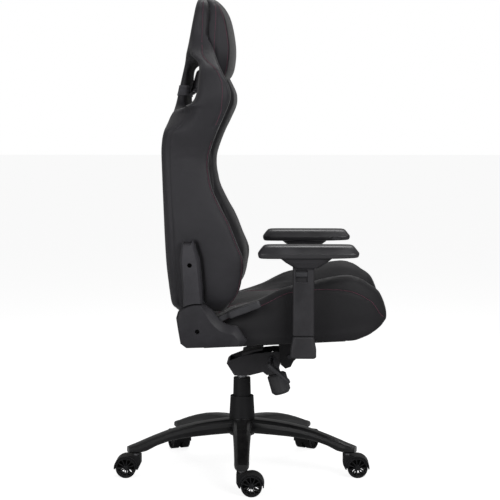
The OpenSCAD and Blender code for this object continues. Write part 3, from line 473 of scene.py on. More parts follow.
def pull_in(piece, lines, depth_mm, width_mm):
    """Sinks the cover along its seams."""
    co, no = shape_of(piece.data)
    sink = depth_mm * MM * fading(gap_to(lines, co), width_mm)
    set_points(piece.data, co - no * sink[:, None])


def tube_along(spots, radius_mm, sides=10):
    """Round cord along spots, closed at both ends."""
    spots = np.asarray(spots)
    rings, last = [], len(spots) - 1
    up = np.array([0.3, 0.2, 0.93])
    for i in range(len(spots)):
        ahead = spots[min(i + 1, last)] - spots[max(i - 1, 0)]
        ahead /= max(np.linalg.norm(ahead), 1e-9)
        side = np.cross(ahead, up)
        side /= max(np.linalg.norm(side), 1e-9)
        up = np.cross(side, ahead)
        swell = radius_mm * MM * (0.35 if i in (0, last) else 1.0)
        rings.append([spots[i] + swell * (math.cos(a) * side + math.sin(a) * up)
                      for a in (2 * math.pi * k / sides for k in range(sides))])
    return lofted(rings)


def headings(spots):
    """Unit directions along a line of spots."""
    ahead = np.gradient(spots, axis=0)
    return ahead / np.maximum(np.linalg.norm(ahead, axis=1), 1e-9)[:, None]


def lengths_along(spots):
    return np.concatenate([[0], np.cumsum(np.linalg.norm(np.diff(spots, axis=0), axis=1))])


def stitched(surface, line, off_mm, pitch_mm=5.4, length_mm=4.6, thick_mm=1.25):
    """Row of single stitches along a line, off_mm to its side."""
    spots, normals = laid_on(surface, line)
    moved = spots + np.cross(normals, headings(spots)) * off_mm * MM
    spots, normals = laid_on(surface, moved, 0.25 * thick_mm)
    ahead, along = headings(spots), lengths_along(spots)
    forms = []
    half, thick = length_mm / 2 * MM, thick_mm / 2 * MM
    for at in np.arange(pitch_mm * MM, along[-1] - pitch_mm * MM, pitch_mm * MM):
        i = int(np.searchsorted(along, at))
        centre, front, up = spots[i], ahead[i], normals[i]
        across = np.cross(up, front)
        rings = [[centre + front * half * step + thick * swell * (math.cos(a) * across + math.sin(a) * up)
                  for a in (math.pi * k / 3 for k in range(6))]
                 for step, swell in ((-1, .35), (-.7, .9), (0, 1.0), (.7, .9), (1, .35))]
        forms.append(lofted(rings))
    return forms


def on_seat(share, y, z):
    """A point of the level seat, at a share of its length and in millimetres, put on the sloping one."""
    dx, dz = (seat_back_x + share * seat_len) * MM + swivel_x - tilt_x, z * MM
    return (tilt_x + dx * math.cos(seat_pitch) - dz * math.sin(seat_pitch), y * MM,
            seat_z + dx * math.sin(seat_pitch) + dz * math.cos(seat_pitch))


def seat_low(share):
    return 9.3 if share <= board_end else max(0.3, curve(underside_line, share))


def seat_crest(share):
    return max(seat_low(share) + 14, bolster_h * curve(crest_line, share))


def seat_pan(share):
    return max(seat_low(share) + 12, pan_h * curve(pan_line, share))


def seat_form(side):
    """One bolster, from under the edge of the centre panel outwards, lofted from the rear to the front."""
    rings = []
    for share in seat_shares:
        low, top, pan = seat_low(share), seat_crest(share), seat_pan(share)
        foot = max(0.3, curve(underside_line, share))
        inner_top = max(low + 4, min(pan - 7, top - 4))
        draw_in = 26 * ((share - 0.8) / 0.2) ** 2 if share > 0.8 else 0
        width = seat_half - panel_half
        lean = max(0, 1 - share / 0.6)
        edge = board_half + 0.3 - draw_in
        outline = [(panel_half - 20, low), (edge, low), (edge, foot)]
        for across, high, tuck in (
                (.96, 0, 0), (.99, .14, 0), (1, .4, 0), (.975, .68, .03),
                (.9, .9, .12), (.76, 1, .05), (.6, .985, -.01), (.42, .9, -.1)):
            outline.append((panel_half + across * (width - draw_in),
                            foot + (high - lean * tuck) * (top - foot)))
        outline += [(panel_half + .2 * width, inner_top + .42 * max(0, top - inner_top)),
                    (panel_half + .04 * width, inner_top + 2), (panel_half - 20, inner_top - 1)]
        ring = [on_seat(share, side * y, z) for y, z in outline]
        rings.append(ring if side > 0 else ring[::-1])
    return lofted(rings)


def pan_form():
    rings = []
    for share in seat_shares:
        low, top = seat_low(share), seat_pan(share)
        depth = min(1, (top - low) / 50)
        half = panel_half + 4
        outline = [(-half, low), (half, low)] + [
            (at * half, top - (16 * abs(at) ** 6 + 1.0 * at * at) * depth) for at in np.linspace(1, -1, 25)]
        rings.append([on_seat(share, y, z) for y, z in outline])
    return lofted(rings)


seat_side_seam = [[.02, 62], [.12, 74], [.2, 89], [.337, 110], [.441, 133], [.49, 140], [.6, 142.5],
                  [.671, 142], [.782, 136], [.85, 124], [.911, 101], [.959, 66], [.985, 56]]
seat_seams = []
for side in (1, -1):
    seat_seams.append([on_seat(k, side * (seat_half - (6 if k < .9 else 18)), curve(seat_side_seam, k))
                       for k in np.linspace(.02, .985, 60)])
    seat_seams.append([on_seat(k, side * panel_half, seat_pan(k) - 8) for k in np.linspace(.03, .99, 60)])
for share in (.12, .86):
    seat_seams.append([on_seat(share, y, seat_pan(share)) for y in np.linspace(-150, 150, 30)])


def seat_firm(co):
    """The foam stays where it lies on the board, and beside the recliners and the armrests."""
    level = (co[:, 2] - seat_z) - (co[:, 0] - tilt_x) * math.tan(seat_pitch)
    on_board = 1 - within((level - 0.022) / 0.02)
    rear = within((-0.075 - co[:, 0]) / 0.02) * (np.abs(co[:, 1]) > 0.2)
    return within(on_board + rear)


def build_leather_grain():
    """Pebble grain of coated fabric: cells with creases between them, a mask of the creases for painted shade,
    and a slow drift of tone.
    """
    group, given, result = new_group("leather_grain", {"Pebble mm": 1.1, "Drift mm": 90.0},
                                     {"Height": "Float", "Drift": "Float", "Crease": "Float"})
    place = put(group, "TexCoord").outputs["Object"]
    fine = maths(group, "DIVIDE", 1000.0, given["Pebble mm"])
    broad = maths(group, "DIVIDE", 1000.0, given["Drift mm"])
    wander = noise(group, maths(group, "MULTIPLY", fine, 0.6), 2.0, 0.5)["Color"]
    bent = put(group, "Mix", {"Factor": 0.0006, 4: place, 5: wander}, data_type="VECTOR").outputs[1]
    pebbles = put(group, "TexVoronoi", {"Vector": bent, "Scale": fine}, feature="DISTANCE_TO_EDGE")
    crease = spread(group, pebbles.outputs["Distance"], 0.0, 0.22)
    drift = noise(group, broad, 4.0, 0.6)["Fac"]
    feed(result, {"Height": crease, "Crease": spread(group, crease, 0.0, 1.0, 1.0, 0.0),
                  "Drift": spread(group, drift, 0.3, 0.7)})
    return group


leather_grain = build_leather_grain()


def coated_fabric(name, colour, rough=0.55, drift=0.12, pebble_mm=1.1, depth_mm=0.06, sheen=0.25,
                  dust=0.03, inner=None):
    """Polyurethane-coated upholstery fabric; inner is a darker colour, painted shade on the marked faces that
    turn to the chair's middle and on the centre panel.
    """
    material, tree, shader = new_material(name)
    grain = put(tree, "Group", {"Pebble mm": pebble_mm, "Drift mm": 90.0}, node_tree=leather_grain).outputs
    powder = put(tree, "Group", {"Amount": dust}, node_tree=settled_dust).outputs["Mask"]
    base = linear(colour)
    tone = drifting(tree, grain["Drift"], base, drift)
    if inner:
        # painted shade: the marked faces take the darker inner colour
        inside = put(tree, "Attribute", attribute_name="inside").outputs["Fac"]
        tone = blended(tree, inside, tone, drifting(tree, grain["Drift"], linear(inner), drift))
    # painted shade: the creases of the grain are coloured darker
    tone = blended(tree, maths(tree, "MULTIPLY", grain["Crease"], 0.5), tone, times(base, 0.6))
    tone = blended(tree, powder, tone, dust_colour)
    polish = spread(tree, grain["Drift"], 0.0, 1.0, rough - 0.05, rough + 0.06)
    feed(shader, {"Base Color": tone, "Roughness": polish, "Specular IOR Level": 0.3,
                  "Sheen Weight": sheen, "Sheen Roughness": 0.4,
                  "Normal": bump(tree, {"Height": grain["Height"]}, depth_mm)})
    return material


def mark_inside(piece, facing, lean):
    """Painted shade: marks the skin that looks to the chair's middle line, past a given lean, and the centre
    panel, to take the fabric's darker inner colour.
    """
    co, no = shape_of(piece.data)
    ahead = no @ np.array(facing, float)
    inward = within((lean - no[:, 1] * np.sign(co[:, 1])) * 5) * within((ahead + 0.3) * 4)
    centre = within((panel_half - np.abs(co[:, 1]) / MM) / 3) * within((ahead - 0.2) * 5)
    inside = piece.data.attributes.new("inside", "FLOAT", "POINT")
    inside.data.foreach_set("value", np.maximum(inward, centre).astype(np.float32))


# the inner colours are painted shade, for faces that turn to the chair's middle and for the centre panel
cover_fabric = coated_fabric("cover_fabric", (57, 56, 60), inner=(31, 30, 33))
# painted shade: the seat's cover is a darker copy of the back's fabric, coloured as the shade it lies in under
# the armrests
shaded_seat_fabric = coated_fabric("shaded_seat_fabric", (35, 34, 37), inner=(28, 27, 30))
thread = coated_fabric("thread", (124, 66, 88), rough=0.6, pebble_mm=0.3, depth_mm=0.05, sheen=0.2)

seat_upholstery = new_piece("seat_upholstery", [pan_form(), seat_form(1), seat_form(-1)])
one_skin(seat_upholstery, 6.0, 3)
stuffed(seat_upholstery, seat_seams, 6.0, 2.5, seat_firm)
finer(seat_upholstery)
pull_in(seat_upholstery, seat_seams, 1.8, 3.4)
# painted shade on the bolsters' inner faces and the centre panel
mark_inside(seat_upholstery, (0, 0, 1), -0.1)
seat_upholstery.data.materials.append(shaded_seat_fabric)
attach(seat_upholstery, "seat")
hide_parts("seat_cushion", "seat_bolster_right", "seat_bolster_left")

seat_skin = surface_of(seat_upholstery)
seat_thread = new_piece("seat_thread", [
    form for line in seat_seams for form in stitched(seat_skin, line, 3.6)], thread)
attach(seat_thread, "seat")


# ---- recliner
# A steel plate on each side of the seat, with a round head about the axis, under a moulded
# cover. The cross rod joins both sides and carries the release lever on the right.

side_plastic = hard_finish("side_plastic", (49, 48, 52), 0.46, radius_mm=1.2)
dress(plate_paint, "recliner_plates")
dress(zinc_steel, "cross_rod")
dress(lever_plastic, "recline_lever")

recline_x, recline_z = -0.1285, 0.440
cover_y, cover_deep, lever_room = 272.9, 30.3, 12.0
through = cover_y - 1, cover_y + cover_deep + 1


def at_recliner(x, y, z):
    """A point from its place beside the recline axis, in millimetres."""
    return (recline_x + x * MM, y * MM, recline_z + z * MM)


def arc(radius, first, last, steps=20):
    turns = (math.radians(first + (last - first) * i / steps) for i in range(steps + 1))
    return [(radius * math.cos(turn), radius * math.sin(turn)) for turn in turns]


def hollow_edge(corners, steps=14):
    """Smooth run through corners, from the last one back to the first."""
    return [(x, curve(corners, x)) for x in np.linspace(corners[-1][0], corners[0][0], steps)]


def box_form(low, high):
    (a, b, c), (d, e, f) = low, high
    return lofted([[(a, b, z), (d, b, z), (d, e, z), (a, e, z)] for z in (c, f)])


def slab_form(outline, side, near, far):
    """Plate of one outline beside the recline axis, on one side of the chair."""
    rings = [[at_recliner(x, side * y, z) for x, z in outline] for y in (near, far)]
    return lofted([ring[::-side] for ring in rings])


def cut_out(piece, form):
    """Takes a form away from a piece."""
    tool = new_piece("cutter", [form])
    modify(piece, "BOOLEAN", object=tool, operation="DIFFERENCE", solver="EXACT")
    settle(piece)
    bpy.data.objects.remove(tool)


def crisp(piece, degrees):
    """Smooth faces that stay sharp where they meet at more than some degrees."""
    piece.data.shade_smooth()
    piece.data.set_sharp_from_angle(angle=math.radians(degrees))


def side_cover(name, side, edge, face, straight, cuts, material):
    """Moulded cover: straight walls, one wide bevel up to its flat face, slightly rounded edges, and cuts."""
    rings = [[at_recliner(x, side * y, z) for x, z in outline] for y, outline in (
        (cover_y, edge), (cover_y + straight, edge), (cover_y + cover_deep, face))]
    cover = new_piece(name, [lofted([ring[::-side] for ring in rings])])
    modify(cover, "BEVEL", width=0.9 * MM, segments=2, limit_method="ANGLE", angle_limit=math.radians(24))
    settle(cover)
    cover.data.materials.append(material)
    for outline, near, far in cuts:
        cut_out(cover, slab_form(outline, side, near, far))
    crisp(cover, 24)
    return cover


rod_hole, disc_room = arc(6.4, 0, 337.5, 15), arc(20, 0, 352.5, 47)
lever_slot = [(0, -19), (90, 18), (110, 60), (60, 90), (0, 19)]
cover_edge = [*arc(75, 78, 134), (-57.5, 36), (-52, 0), (-46, -34), (-30, -46), (40, -44), (120, -41),
              (130, -29), (133, -24), *hollow_edge([[25, 68], [42, 55], [56, 36], [76, 20], [108, 13]])]
cover_face = [*arc(71, 82, 132), (-52, 34), (-47, 0), (-42, -31), (-27, -42), (40, -40), (106, -38),
              (114, -32), (112, -24), *hollow_edge([[16, 60], [27, 40], [42, 19], [64, 2], [97, -6]])]
sides = ("right", -1), ("left", 1)
for name, side in sides:
    cuts = [(rod_hole, *through), (disc_room, cover_y - 1, cover_y + lever_room)]
    if name == "right":
        cuts.append((lever_slot, cover_y + 5, cover_y + lever_room))
    side_piece = side_cover(f"recliner_side_cover_{name}", side, cover_edge, cover_face, 17, cuts, side_plastic)
    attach(side_piece, "seat")
    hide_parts(f"recliner_cover_{name}")


# ---- back arms and brackets
# Pressed steel arms that reach up into the back's frame, under moulded side covers.

bracket_plastic = hard_finish("bracket_plastic", (67, 66, 70), 0.46, radius_mm=1.2)
dress(plate_paint, "back_arms")

bracket_edge = [*arc(75.6, 120, 79), (11, 120), (5, 191), (-12, 246), (-16, 237), (-37, 237), (-41, 244),
                (-47, 191), (-40, 120)]
bracket_face = [*arc(75.6, 117, 84), (4, 120), (-2, 189), (-15, 238), (-18, 232), (-34, 232), (-37, 236),
                (-40, 189), (-35, 120)]
screw_hole = [(x - 20, z + 179) for x, z in rod_hole]
for name, side in sides:
    side_piece = side_cover(f"bracket_cover_{name}", side, bracket_edge[::-1], bracket_face[::-1], 20,
                            [(screw_hole, *through)], bracket_plastic)
    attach(side_piece, "back")
    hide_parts(f"back_bracket_{name}")


# ---- back upholstery
# Moulded foam over a steel tube frame under one sewn cover: centre panel, head and two wings.
# The shoulder slots are open between the spine and the wings.

back_h = 915.0
hip_w, waist_w, shoulder_w = 537.0, 470.0, 548.0
rear_line = [[.05, -67], [.072, -76], [.11, -81], [.2, -90], [.33, -96], [.44, -101], [.5, -103.5],
             [.54, -103.5], [.58, -98], [.62, -85], [.7, -67], [.78, -50], [.85, -36], [.93, -22],
             [.985, -11], [1, -2]]
panel_line = [[.05, 38], [.12, 31], [.22, 23], [.33, 10], [.44, -4], [.5, -8], [.6, -10], [.65, -14],
              [.67, -36], [.74, -33], [.79, -26], [.805, 1], [.866, 27], [.93, 32], [.98, 25], [1, 9]]
wing_line = [[.05, 67], [.0765, 91], [.105, 109], [.149, 119], [.204, 124], [.258, 105], [.311, 86],
             [.368, 60], [.415, 40], [.455, 32], [.49, 28.5], [.526, 33], [.587, 53], [.631, 72],
             [.671, 86], [.7, 88], [.72, 84], [.772, 61], [.8, 51], [.836, 41],
             [.86, 31], [.875, 26]]
wing_rear_line = [[.05, -67], [.648, -76], [.662, -39], [.672, -18], [.69, -8], [.72, -2], [.78, 1],
                  [.79, -2], [.8, -10], [.815, -24], [.836, -28], [.86, -22], [.875, -14]]
half_line = [[.05, hip_w / 2 - 42], [.09, hip_w / 2 - 14], [.2, hip_w / 2], [.33, hip_w / 2 - 3],
             [.5, waist_w / 2], [.6, (waist_w + shoulder_w) / 4], [.68, shoulder_w / 2],
             [.72, shoulder_w / 2 - 2], [.77, shoulder_w / 2 - 20], [.8, shoulder_w / 2 - 52],
             [.836, panel_half + 24], [.86, panel_half + 11], [.875, panel_half + 6]]
panel_half_line = [[.05, 142], [.1, 152], [.65, 152], [.67, 108], [.74, 108], [.793, 108], [.812, 148],
                   [.85, 152], [.93, 149], [.97, 134], [.99, 108], [1, 76]]
wing_round = [[.5, 0], [.86, .012], [.93, .1], [.965, .32], [.985, .58], [1, .78], [.975, .93], [.88, .985],
              [.66, 1], [.4, 1], [.2, .97], [.06, .86], [0, .6], [.03, .2], [.12, .012]]


def on_back(x, y, share):
    """A point of the upright back: millimetres from the recline axis, and share of the back's height."""
    return (recline_x + x * MM, y * MM, recline_z + share * back_h * MM)


def soft_outline(centre, half, power, count):
    """Closed outline between an ellipse (power 1) and a rectangle (power 0)."""
    ring = []
    for i in range(count):
        c, s = math.cos(2 * math.pi * i / count), math.sin(2 * math.pi * i / count)
        ring.append((centre[0] + half[0] * math.copysign(abs(c) ** power, c),
                     centre[1] + half[1] * math.copysign(abs(s) ** power, s)))
    return ring


def back_half(share):
    return min(hip_w / 2, curve(half_line, share)) if share < 0.4 else curve(half_line, share)


def panel_side(share):
    return min(152.0, curve(panel_half_line, share))


def panel_form():
    rings = []
    for share in np.linspace(.05, 1, 120):
        end = 8 if share < .058 else 0
        rear, front = curve(rear_line, share) + end, curve(panel_line, share) - end
        half = panel_side(share) + (4 if share < .65 or .815 < share < .84 else 0)
        scoop = 34 * within((.66 - share) / .06) * within((share - .05) / .05)
        ring = []
        for x, y in soft_outline(((rear + front) / 2, 0), ((front - rear) / 2, half), 0.34, 72):
            lift = scoop * max(0.0, (abs(y) - 92) / 60) ** 2 if x > (rear + front) / 2 else 0
            ring.append(on_back(x + lift, y, share))
        rings.append(ring)
    return lofted(rings)


def wing_rear(share):
    if share >= .65:
        return curve(wing_rear_line, share)
    return curve(rear_line, share) + (8 if share < .06 else 0)


def wing_point(share, depth, out, side, inner=152.0):
    rear, front = wing_rear(share), curve(wing_line, share)
    return on_back(rear + depth * (front - rear), side * (inner + out * (back_half(share) - inner)), share)


def wing_form(side):
    """Side wing; below the slot its rear edge runs inwards to the spine."""
    rings = []
    for share in np.linspace(.05, .875, 120):
        tucked = 4 if share < .655 or share > .815 else 0
        slope = 0.9 * within((share - .59) / .06) if share < .655 else 0.0
        ring = [wing_point(share, depth, out * (1 - slope * max(0.0, 1 - depth / .5)), side, 152.0 - tucked)
                for depth, out in rounded_ring(wing_round)]
        rings.append(ring[::-1] if side > 0 else ring)
    return lofted(rings)


# the side seam: down the head, forward over the shoulder and down the wing
side_seam = [[.985, 8], [.979, 4], [.931, 5], [.873, 2], [.84, 3], [.822, 5], [.808, 10], [.788, 25],
             [.761, 49], [.73, 62], [.7, 64], [.684, 63], [.642, 59], [.616, 49], [.6, 42]]
stitched_seams, plain_seams, rear_seams, wing_crests = [], [], [], []
for side in (1, -1):
    stitched_seams.append([
        on_back(x, side * max(150.0 * min(1, panel_side(k) / 146), back_half(k) * .985 if k < .84 else 0), k)
        for k, x in side_seam])
    # along the front crest of the wing, with a welt cord beside it
    wing_crests.append([wing_point(k, .985, .88, side) for k in np.linspace(.07, .815, 90)])
    # along the side, a finger's width in front of the rear face
    rear_seams.append([on_back(wing_rear(k) + 22, side * back_half(k), k) for k in np.linspace(.07, .64, 70)])
    # valley between wing and centre panel
    plain_seams.append([on_back(curve(panel_line, k) + 34, side * 152, k) for k in np.linspace(.08, .62, 60)])
for share in (.2, .46):
    stitched_seams.append([on_back(curve(panel_line, share), y, share) for y in np.linspace(-118, 118, 30)])
back_seams = stitched_seams + wing_crests + plain_seams + rear_seams


def back_firm(co):
    """The foam keeps clear of the steel arms, the strap and the slots."""
    share = (co[:, 2] - recline_z) / (back_h * MM)
    hips = within((.36 - share) / .03) * within((np.abs(co[:, 1]) - .225) / .02)
    levels = np.linspace(0, 1.02, 205)
    rear = np.interp(share, levels, [curve(rear_line, k) for k in levels])
    shell = within((rear + 34 - (co[:, 0] - recline_x) / MM) / 14)
    spine = within(1 - np.abs(share - .73) / .09) * 2
    foot = within((.075 - share) / .02)
    return within(hips + shell + spine + foot)


def relaxed(piece, lines, width_mm, rounds):
    """Evens the skin out near some lines."""
    near = fading(gap_to(lines, shape_of(piece.data)[0]), width_mm)
    weigh(piece, "near", near, 0.03)
    modify(piece, "SMOOTH", vertex_group="near", factor=0.5, iterations=rounds)
    settle(piece)


back_upholstery = new_piece("back_upholstery", [panel_form(), wing_form(1), wing_form(-1)])
one_skin(back_upholstery, 6.0, 3)
# the shoulders run smoothly into the spine and into the head
relaxed(back_upholstery, [
    [on_back(x, side * y, share) for x, y, share in spots] for side in (1, -1) for spots in (
        [(-76, 112, .652), (-58, 130, .656), (-40, 170, .66), (-20, 210, .665)],
        [(10, 160, .835), (-15, 156, .86), (10, 156, .875)])], 26.0, 30)
stuffed(back_upholstery, back_seams, 6.0, 2.0, back_firm)
finer(back_upholstery)
pull_in(back_upholstery, back_seams, 1.8, 3.4)
back_skin = surface_of(back_upholstery)
pull_in(back_upholstery, [laid_on(back_skin, line, 0.0, 3.0)[0] for line in rear_seams], 2.6, 4.0)
# the foam stands back along each side bracket's front edge
pull_in(back_upholstery, [laid_on(back_skin, [
    (recline_x + x * MM, side * back_half(z / back_h) * MM, recline_z + z * MM)
    for x, z in ((13, 76), (12, 120), (6, 191), (-8, 236))], 0.0, 3.0)[0] for side in (1, -1)], 11.0, 6.0)
# painted shade on the wings' inner faces and the centre panel
mark_inside(back_upholstery, (1, 0, 0), 0.2)
back_upholstery.data.materials.append(cover_fabric)
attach(back_upholstery, "back")
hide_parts("back_cushion", "back_wing_right", "back_wing_left")

back_skin = surface_of(back_upholstery)
back_thread = new_piece("back_thread", [
    form for line in stitched_seams + [line[:60] for line in wing_crests]
    for form in stitched(back_skin, line, 3.6)], thread)
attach(back_thread, "back")

# welt cord sewn into the seam on each wing's front crest
wing_piping = new_piece("wing_piping", [
    tube_along(laid_on(back_skin, line, 0.6, 3.0)[0], 1.6) for line in wing_crests], cover_fabric)
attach(wing_piping, "back")


# ---- head pillow and its strap
# A loose pillow of fibre filling, sewn round its edge, held on by a woven elastic band
# that runs round the spine through the shoulder slots.

pillow_half_w = 146.0
pillow_top = .995
pillow_front = [[.743, 71], [.76, 85], [.788, 92], [.832, 96], [.873, 93], [.933, 82], [.965, 68],
                [.984, 52], [.995, 36]]
pillow_rear = [[.743, 57], [.76, 39], [.788, 33], [.832, 29], [.866, 30], [.93, 33.5], [.965, 31.5],
               [.984, 25], [.995, 19]]
pillow_half = [[share, pillow_half_w - less] for share, less in (
    (.743, 60), (.76, 24), (.788, 7), (.832, 0), (.93, 4), (.965, 18), (.984, 34), (.995, 56))]


def pillow_depths(share):
    """Rear and front of the pillow, and how far its front is crowned."""
    rear, front = curve(pillow_rear, share), curve(pillow_front, share)
    return rear, front, min(13.0, (front - rear) * .3)


def pillow_ring(share):
    """Section of the pillow: crowned front, flat gusset at each side, back that hugs the head."""
    rear, front, crown = pillow_depths(share)
    half = curve(pillow_half, share)
    gusset = [(front - crown - 1.5 + (rear - front + crown) * t, half + 2.0 * math.sin(math.pi * t))
              for t in np.linspace(.02, .93, 9)]
    ring = [(front - crown * abs(at) ** 2.6, at * half) for at in np.linspace(-.985, .985, 29)] + gusset
    ring += [(rear - 13 * abs(at) ** 7, at * half) for at in np.linspace(.97, -.97, 25)]
    return [on_back(x, y, share) for x, y in ring + [(x, -y) for x, y in gusset[::-1]]]


def gusset_edge(share, side, at_front):
    rear, front, crown = pillow_depths(share)
    return on_back(front - crown if at_front else rear + 12, side * curve(pillow_half, share), share)


pillow_seams = []
for side in (1, -1):
    pillow_seams.append([gusset_edge(k, side, True) for k in np.linspace(.75, .98, 40)])
    pillow_seams.append([gusset_edge(k, side, False) for k in np.linspace(.775, .975, 40)])
for share in (.744, pillow_top):
    middle = sum(pillow_depths(share)[:2]) / 2
    pillow_seams.append([on_back(middle, y, share) for y in np.linspace(-80, 80, 24)])


def pillow_firm(co):
    """The pillow keeps clear of the head behind it."""
    share = (co[:, 2] - recline_z) / (back_h * MM)
    middle = np.array([sum(pillow_depths(k)[:2]) / 2 for k in np.clip(share, .743, pillow_top)])
    return within((middle * MM - (co[:, 0] - recline_x)) / .012)


head_pillow = new_piece("head_pillow_cover", [
    lofted([pillow_ring(k) for k in np.linspace(.743, pillow_top, 52)])])
one_skin(head_pillow, 5.0, 2)
stuffed(head_pillow, pillow_seams, 7.0, 3.0, pillow_firm)
finer(head_pillow)
pull_in(head_pillow, pillow_seams, 1.6, 3.4)
# painted shade on the pillow's front panel
mark_inside(head_pillow, (1, 0, 0), 0.35)
head_pillow.data.materials.append(cover_fabric)
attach(head_pillow, "back")
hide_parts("head_pillow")

pillow_skin = surface_of(head_pillow)
pillow_thread = new_piece("pillow_thread", [
    form for line in pillow_seams[:4] for form in stitched(pillow_skin, line, 2.6)], thread)
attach(pillow_thread, "back")


strap_h, strap_low = 28.0, 0.697
strap_high = strap_low + strap_h / back_h
# across the band: share of its height, thickness; both edges are woven thicker
strap_section = [[0, .9], [.02, 1.9], [.1, 1.9], [.13, 1.45], [.87, 1.45], [.9, 1.9], [.98, 1.9], [1, .9]]
rib_mm, band_gap = 2.4, 0.4


def rib(at_mm):
    """Weft rib across the band, at a distance along it."""
    return 0.22 * math.sin(2 * math.pi * at_mm / rib_mm)


def band_form():
    """Band round the spine, a little off it."""
    walls = []
    for share in (strap_low, strap_high):
        rear, front = curve(rear_line, share), curve(panel_line, share)
        loop = soft_outline(((rear + front) / 2, 0), ((front - rear) / 2, panel_side(share)), 0.34, 360)
        walls.append(np.array([on_back(x, y, share) for x, y in loop]))
    ahead = np.roll(walls[0], -1, axis=0) - np.roll(walls[0], 1, axis=0)
    ahead /= np.linalg.norm(ahead, axis=1)[:, None]
    outward = np.cross(ahead, (0, 0, 1))
    along = lengths_along(walls[0]) / MM
    rings = []
    for low, high, out, at in zip(*walls, outward, along):
        outline = [(share, band_gap + thick + rib(at)) for share, thick in strap_section]
        rings.append([low * (1 - share) + high * share + out * off * MM
                      for share, off in outline + [(1, band_gap), (0, band_gap)]])
    return lofted(rings, closed=True)


def leg_form(side):
    """Strap from the band up through the slot and forward to the pillow's back, turned a little outwards."""
    foot, bend, end = (np.array(p) for p in
                       ((-34.0, strap_low * back_h + 6), (-14.0, .7775 * back_h), (36, .7665 * back_h)))
    start, finish = bend + (foot - bend) * .16, bend + (end - bend) * .2
    bow = [start * (1 - t)**2 + 2 * bend * t * (1 - t) + finish * t * t for t in np.linspace(0, 1, 9)]
    path = np.array(dense_line([foot] + bow + [end], 600.0))
    ahead, along = headings(path), lengths_along(path)
    over = np.stack([-ahead[:, 1], ahead[:, 0]], axis=1)
    rings = []
    for i in range(len(path)):
        turn = 15.0 * within(along[i] / 20) * within((along[-1] - along[i]) / 40)
        ring = []
        for face in (1, -1):
            for share, thick in strap_section[::face]:
                spot = path[i] - over[i] * (turn * share - face * (thick / 2 + rib(along[i]) / 2))
                ring.append(on_back(spot[0], side * (52 + share * strap_h), spot[1] / back_h))
        rings.append(ring if side > 0 else ring[::-1])
    return lofted(rings)


# knitted elastic: fine ribs across the band and cords along it, with painted shade in the grooves between them
elastic, tree, shader = new_material("elastic")
place = put(tree, "TexCoord").outputs["Object"]
cords, knots = (
    put(tree, "TexWave", {"Vector": place, "Scale": 1000 / pitch_mm / 20, "Distortion": bent, "Detail": fine},
        bands_direction=way).outputs["Fac"]
    for way, pitch_mm, bent, fine in (("Z", 1.8, 1.2, 2.0), ("Y", 1.2, 0.6, 1.0)))
weave = maths(tree, "MULTIPLY", cords, knots)
elastic_grey = linear((108, 107, 112))
# painted shade: the grooves of the weave take a darker grey
feed(shader, {"Base Color": blended(tree, weave, times(elastic_grey, .7), elastic_grey), "Roughness": 0.85,
              "Specular IOR Level": 0.2, "Normal": bump(tree, {"Height": weave}, 0.3)})

pillow_band = new_piece("pillow_band", [band_form(), leg_form(1), leg_form(-1)], elastic)
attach(pillow_band, "back")
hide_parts("pillow_strap")


# ---- armrests
# Steel upright from the seat board, moulded post and collar, and a soft pad that slides,
# turns and shifts on two plates.

arm_plastic = hard_finish("arm_plastic", (55, 54, 57), 0.48, dust=0.04, radius_mm=1.5)
pad_foam = hard_finish("pad_foam", (37, 36, 40), 0.36, grain_mm=0.9, dust=0.1, radius_mm=2.0,
                       wear=0.4, shine=1.0)
for side in ("right", "left"):
    dress(plate_paint, f"arm_bracket_{side}")
    dress(arm_plastic, f"arm_collar_{side}", f"arm_post_{side}", f"arm_slider_{side}", f"arm_rotor_{side}")
    dress(lever_plastic, f"arm_button_{side}", f"pad_button_{side}")

# the pad: height above its foot, how far the outline stands in at the ends and at the sides
pad_levels = [[0, 8, 7], [.6, 5, 4.4], [2, 2.6, 2.2], [5, 1.2, 1], [9, .3, .3], [12.4, 0, 0], [13, .5, .5],
              [13.6, .1, .1], [17, 2.4, 1.8], [21, 5.3, 3.8], [25, 8.4, 6], [29, 11.8, 8.6], [31.6, 14.4, 11],
              [33.4, 17.6, 14.2], [34.6, 23, 19], [35.2, 32, 26], [35.6, 60, 36], [35.7, 96, 42]]


def pad_form(name):
    """Moulded soft pad with a parting line round it; its foot rises towards the front."""
    low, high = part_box(name)
    centre, half = (low + high) / 2, (high - low) / 2
    rings = []
    for up, ends, sides in pad_levels:
        rise = (high.z - low.z) * up / pad_levels[-1][0]
        ring = []
        for x, y in soft_outline((0, 0), (half.x - ends * MM, half.y - sides * MM), 0.28, 128):
            nose = max(0.0, x / half.x - .1) ** 1.5 * 3.5 * MM * max(0.0, 1 - up / 20)
            ring.append((centre.x + x, centre.y + y, low.z + rise + nose))
        rings.append(ring)
    return lofted(rings)


for side in ("right", "left"):
    pad = new_piece(f"arm_pad_foam_{side}", [pad_form(f"arm_pad_{side}")])
    low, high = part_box(f"pad_button_{side}")
    room = Vector((.5, 12, .5)) * MM
    cut_out(pad, box_form(low - room, high + room))
    crisp(pad, 40)
    pad.data.materials.append(pad_foam)
    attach(pad, f"pad_{side}")
    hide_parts(f"arm_pad_{side}")


# ---- floor, light and camera
# A plain white floor in front of an even white backdrop, lit by three soft lamps.

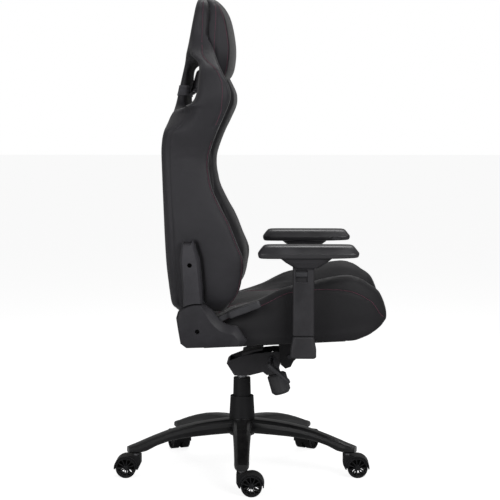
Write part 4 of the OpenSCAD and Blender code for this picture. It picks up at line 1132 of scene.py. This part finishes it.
floor_white, tree, plain = new_material("floor_white")
feed(plain, {"Base Color": (0.5, 0.5, 0.5, 1), "Roughness": 0.9})
to_camera = put(tree, "LightPath").outputs["Is Camera Ray"]
glow = put(tree, "Emission", {"Strength": maths(tree, "MULTIPLY", to_camera, 0.86)})
both = put(tree, "AddShader", {0: plain.outputs[0], 1: glow.outputs[0]})
feed(tree.nodes["Material Output"], {"Surface": both.outputs[0]})
floor = new_piece("floor", [([(-60, -60, 0), (60, -60, 0), (60, 60, 0), (-60, 60, 0)], [(0, 1, 2, 3)])])
floor.data.materials.append(floor_white)

world = bpy.data.worlds.new("studio")
scene.world = world
world.use_nodes = True
tree = world.node_tree
sky = feed(tree.nodes["Background"], {"Color": (1, 1, 1, 1), "Strength": 0.16})
backdrop = put(tree, "Background", {"Color": (1, 1, 1, 1), "Strength": 1.0})
seen = put(tree, "LightPath").outputs
direct = maths(tree, "ADD", seen["Is Camera Ray"], seen["Is Transmission Ray"], clamp=True)
mix = put(tree, "MixShader", {0: direct, 1: sky.outputs[0], 2: backdrop.outputs[0]})
feed(tree.nodes["World Output"], {"Surface": mix.outputs[0]})


def soft_lamp(name, place, aim, size, watts):
    lamp = bpy.data.lights.new(name, "AREA")
    obj = new_object(name, assign(lamp, shape="RECTANGLE", size=size, size_y=size, energy=watts))
    obj.location = place
    obj.rotation_euler = (Vector(aim) - Vector(place)).to_track_quat("-Z", "Y").to_euler()


soft_lamp("key", (1.7, -3.0, 2.2), (0, 0, 0.7), 1.8, 54)
soft_lamp("fill", (-2.1, -2.8, 1.4), (0, 0, 0.8), 1.9, 28)
soft_lamp("top", (0.5, 0.9, 3.1), (0, 0, 0.5), 1.9, 34)

around, reach, eye_height = math.radians(2.0007), 4.2097, 0.9743
pitch_down, pan = 3.9984, math.radians(1.6858)
lens = assign(bpy.data.cameras.new("camera"), lens=105.606, shift_y=-0.03, sensor_width=36)
camera = new_object("camera", lens)
camera.location = (swivel_x + reach * math.sin(around), -reach * math.cos(around), eye_height)
camera.rotation_euler = (math.radians(90 - pitch_down), 0, pan)
scene.camera = camera
scene.view_settings.view_transform = "Standard"
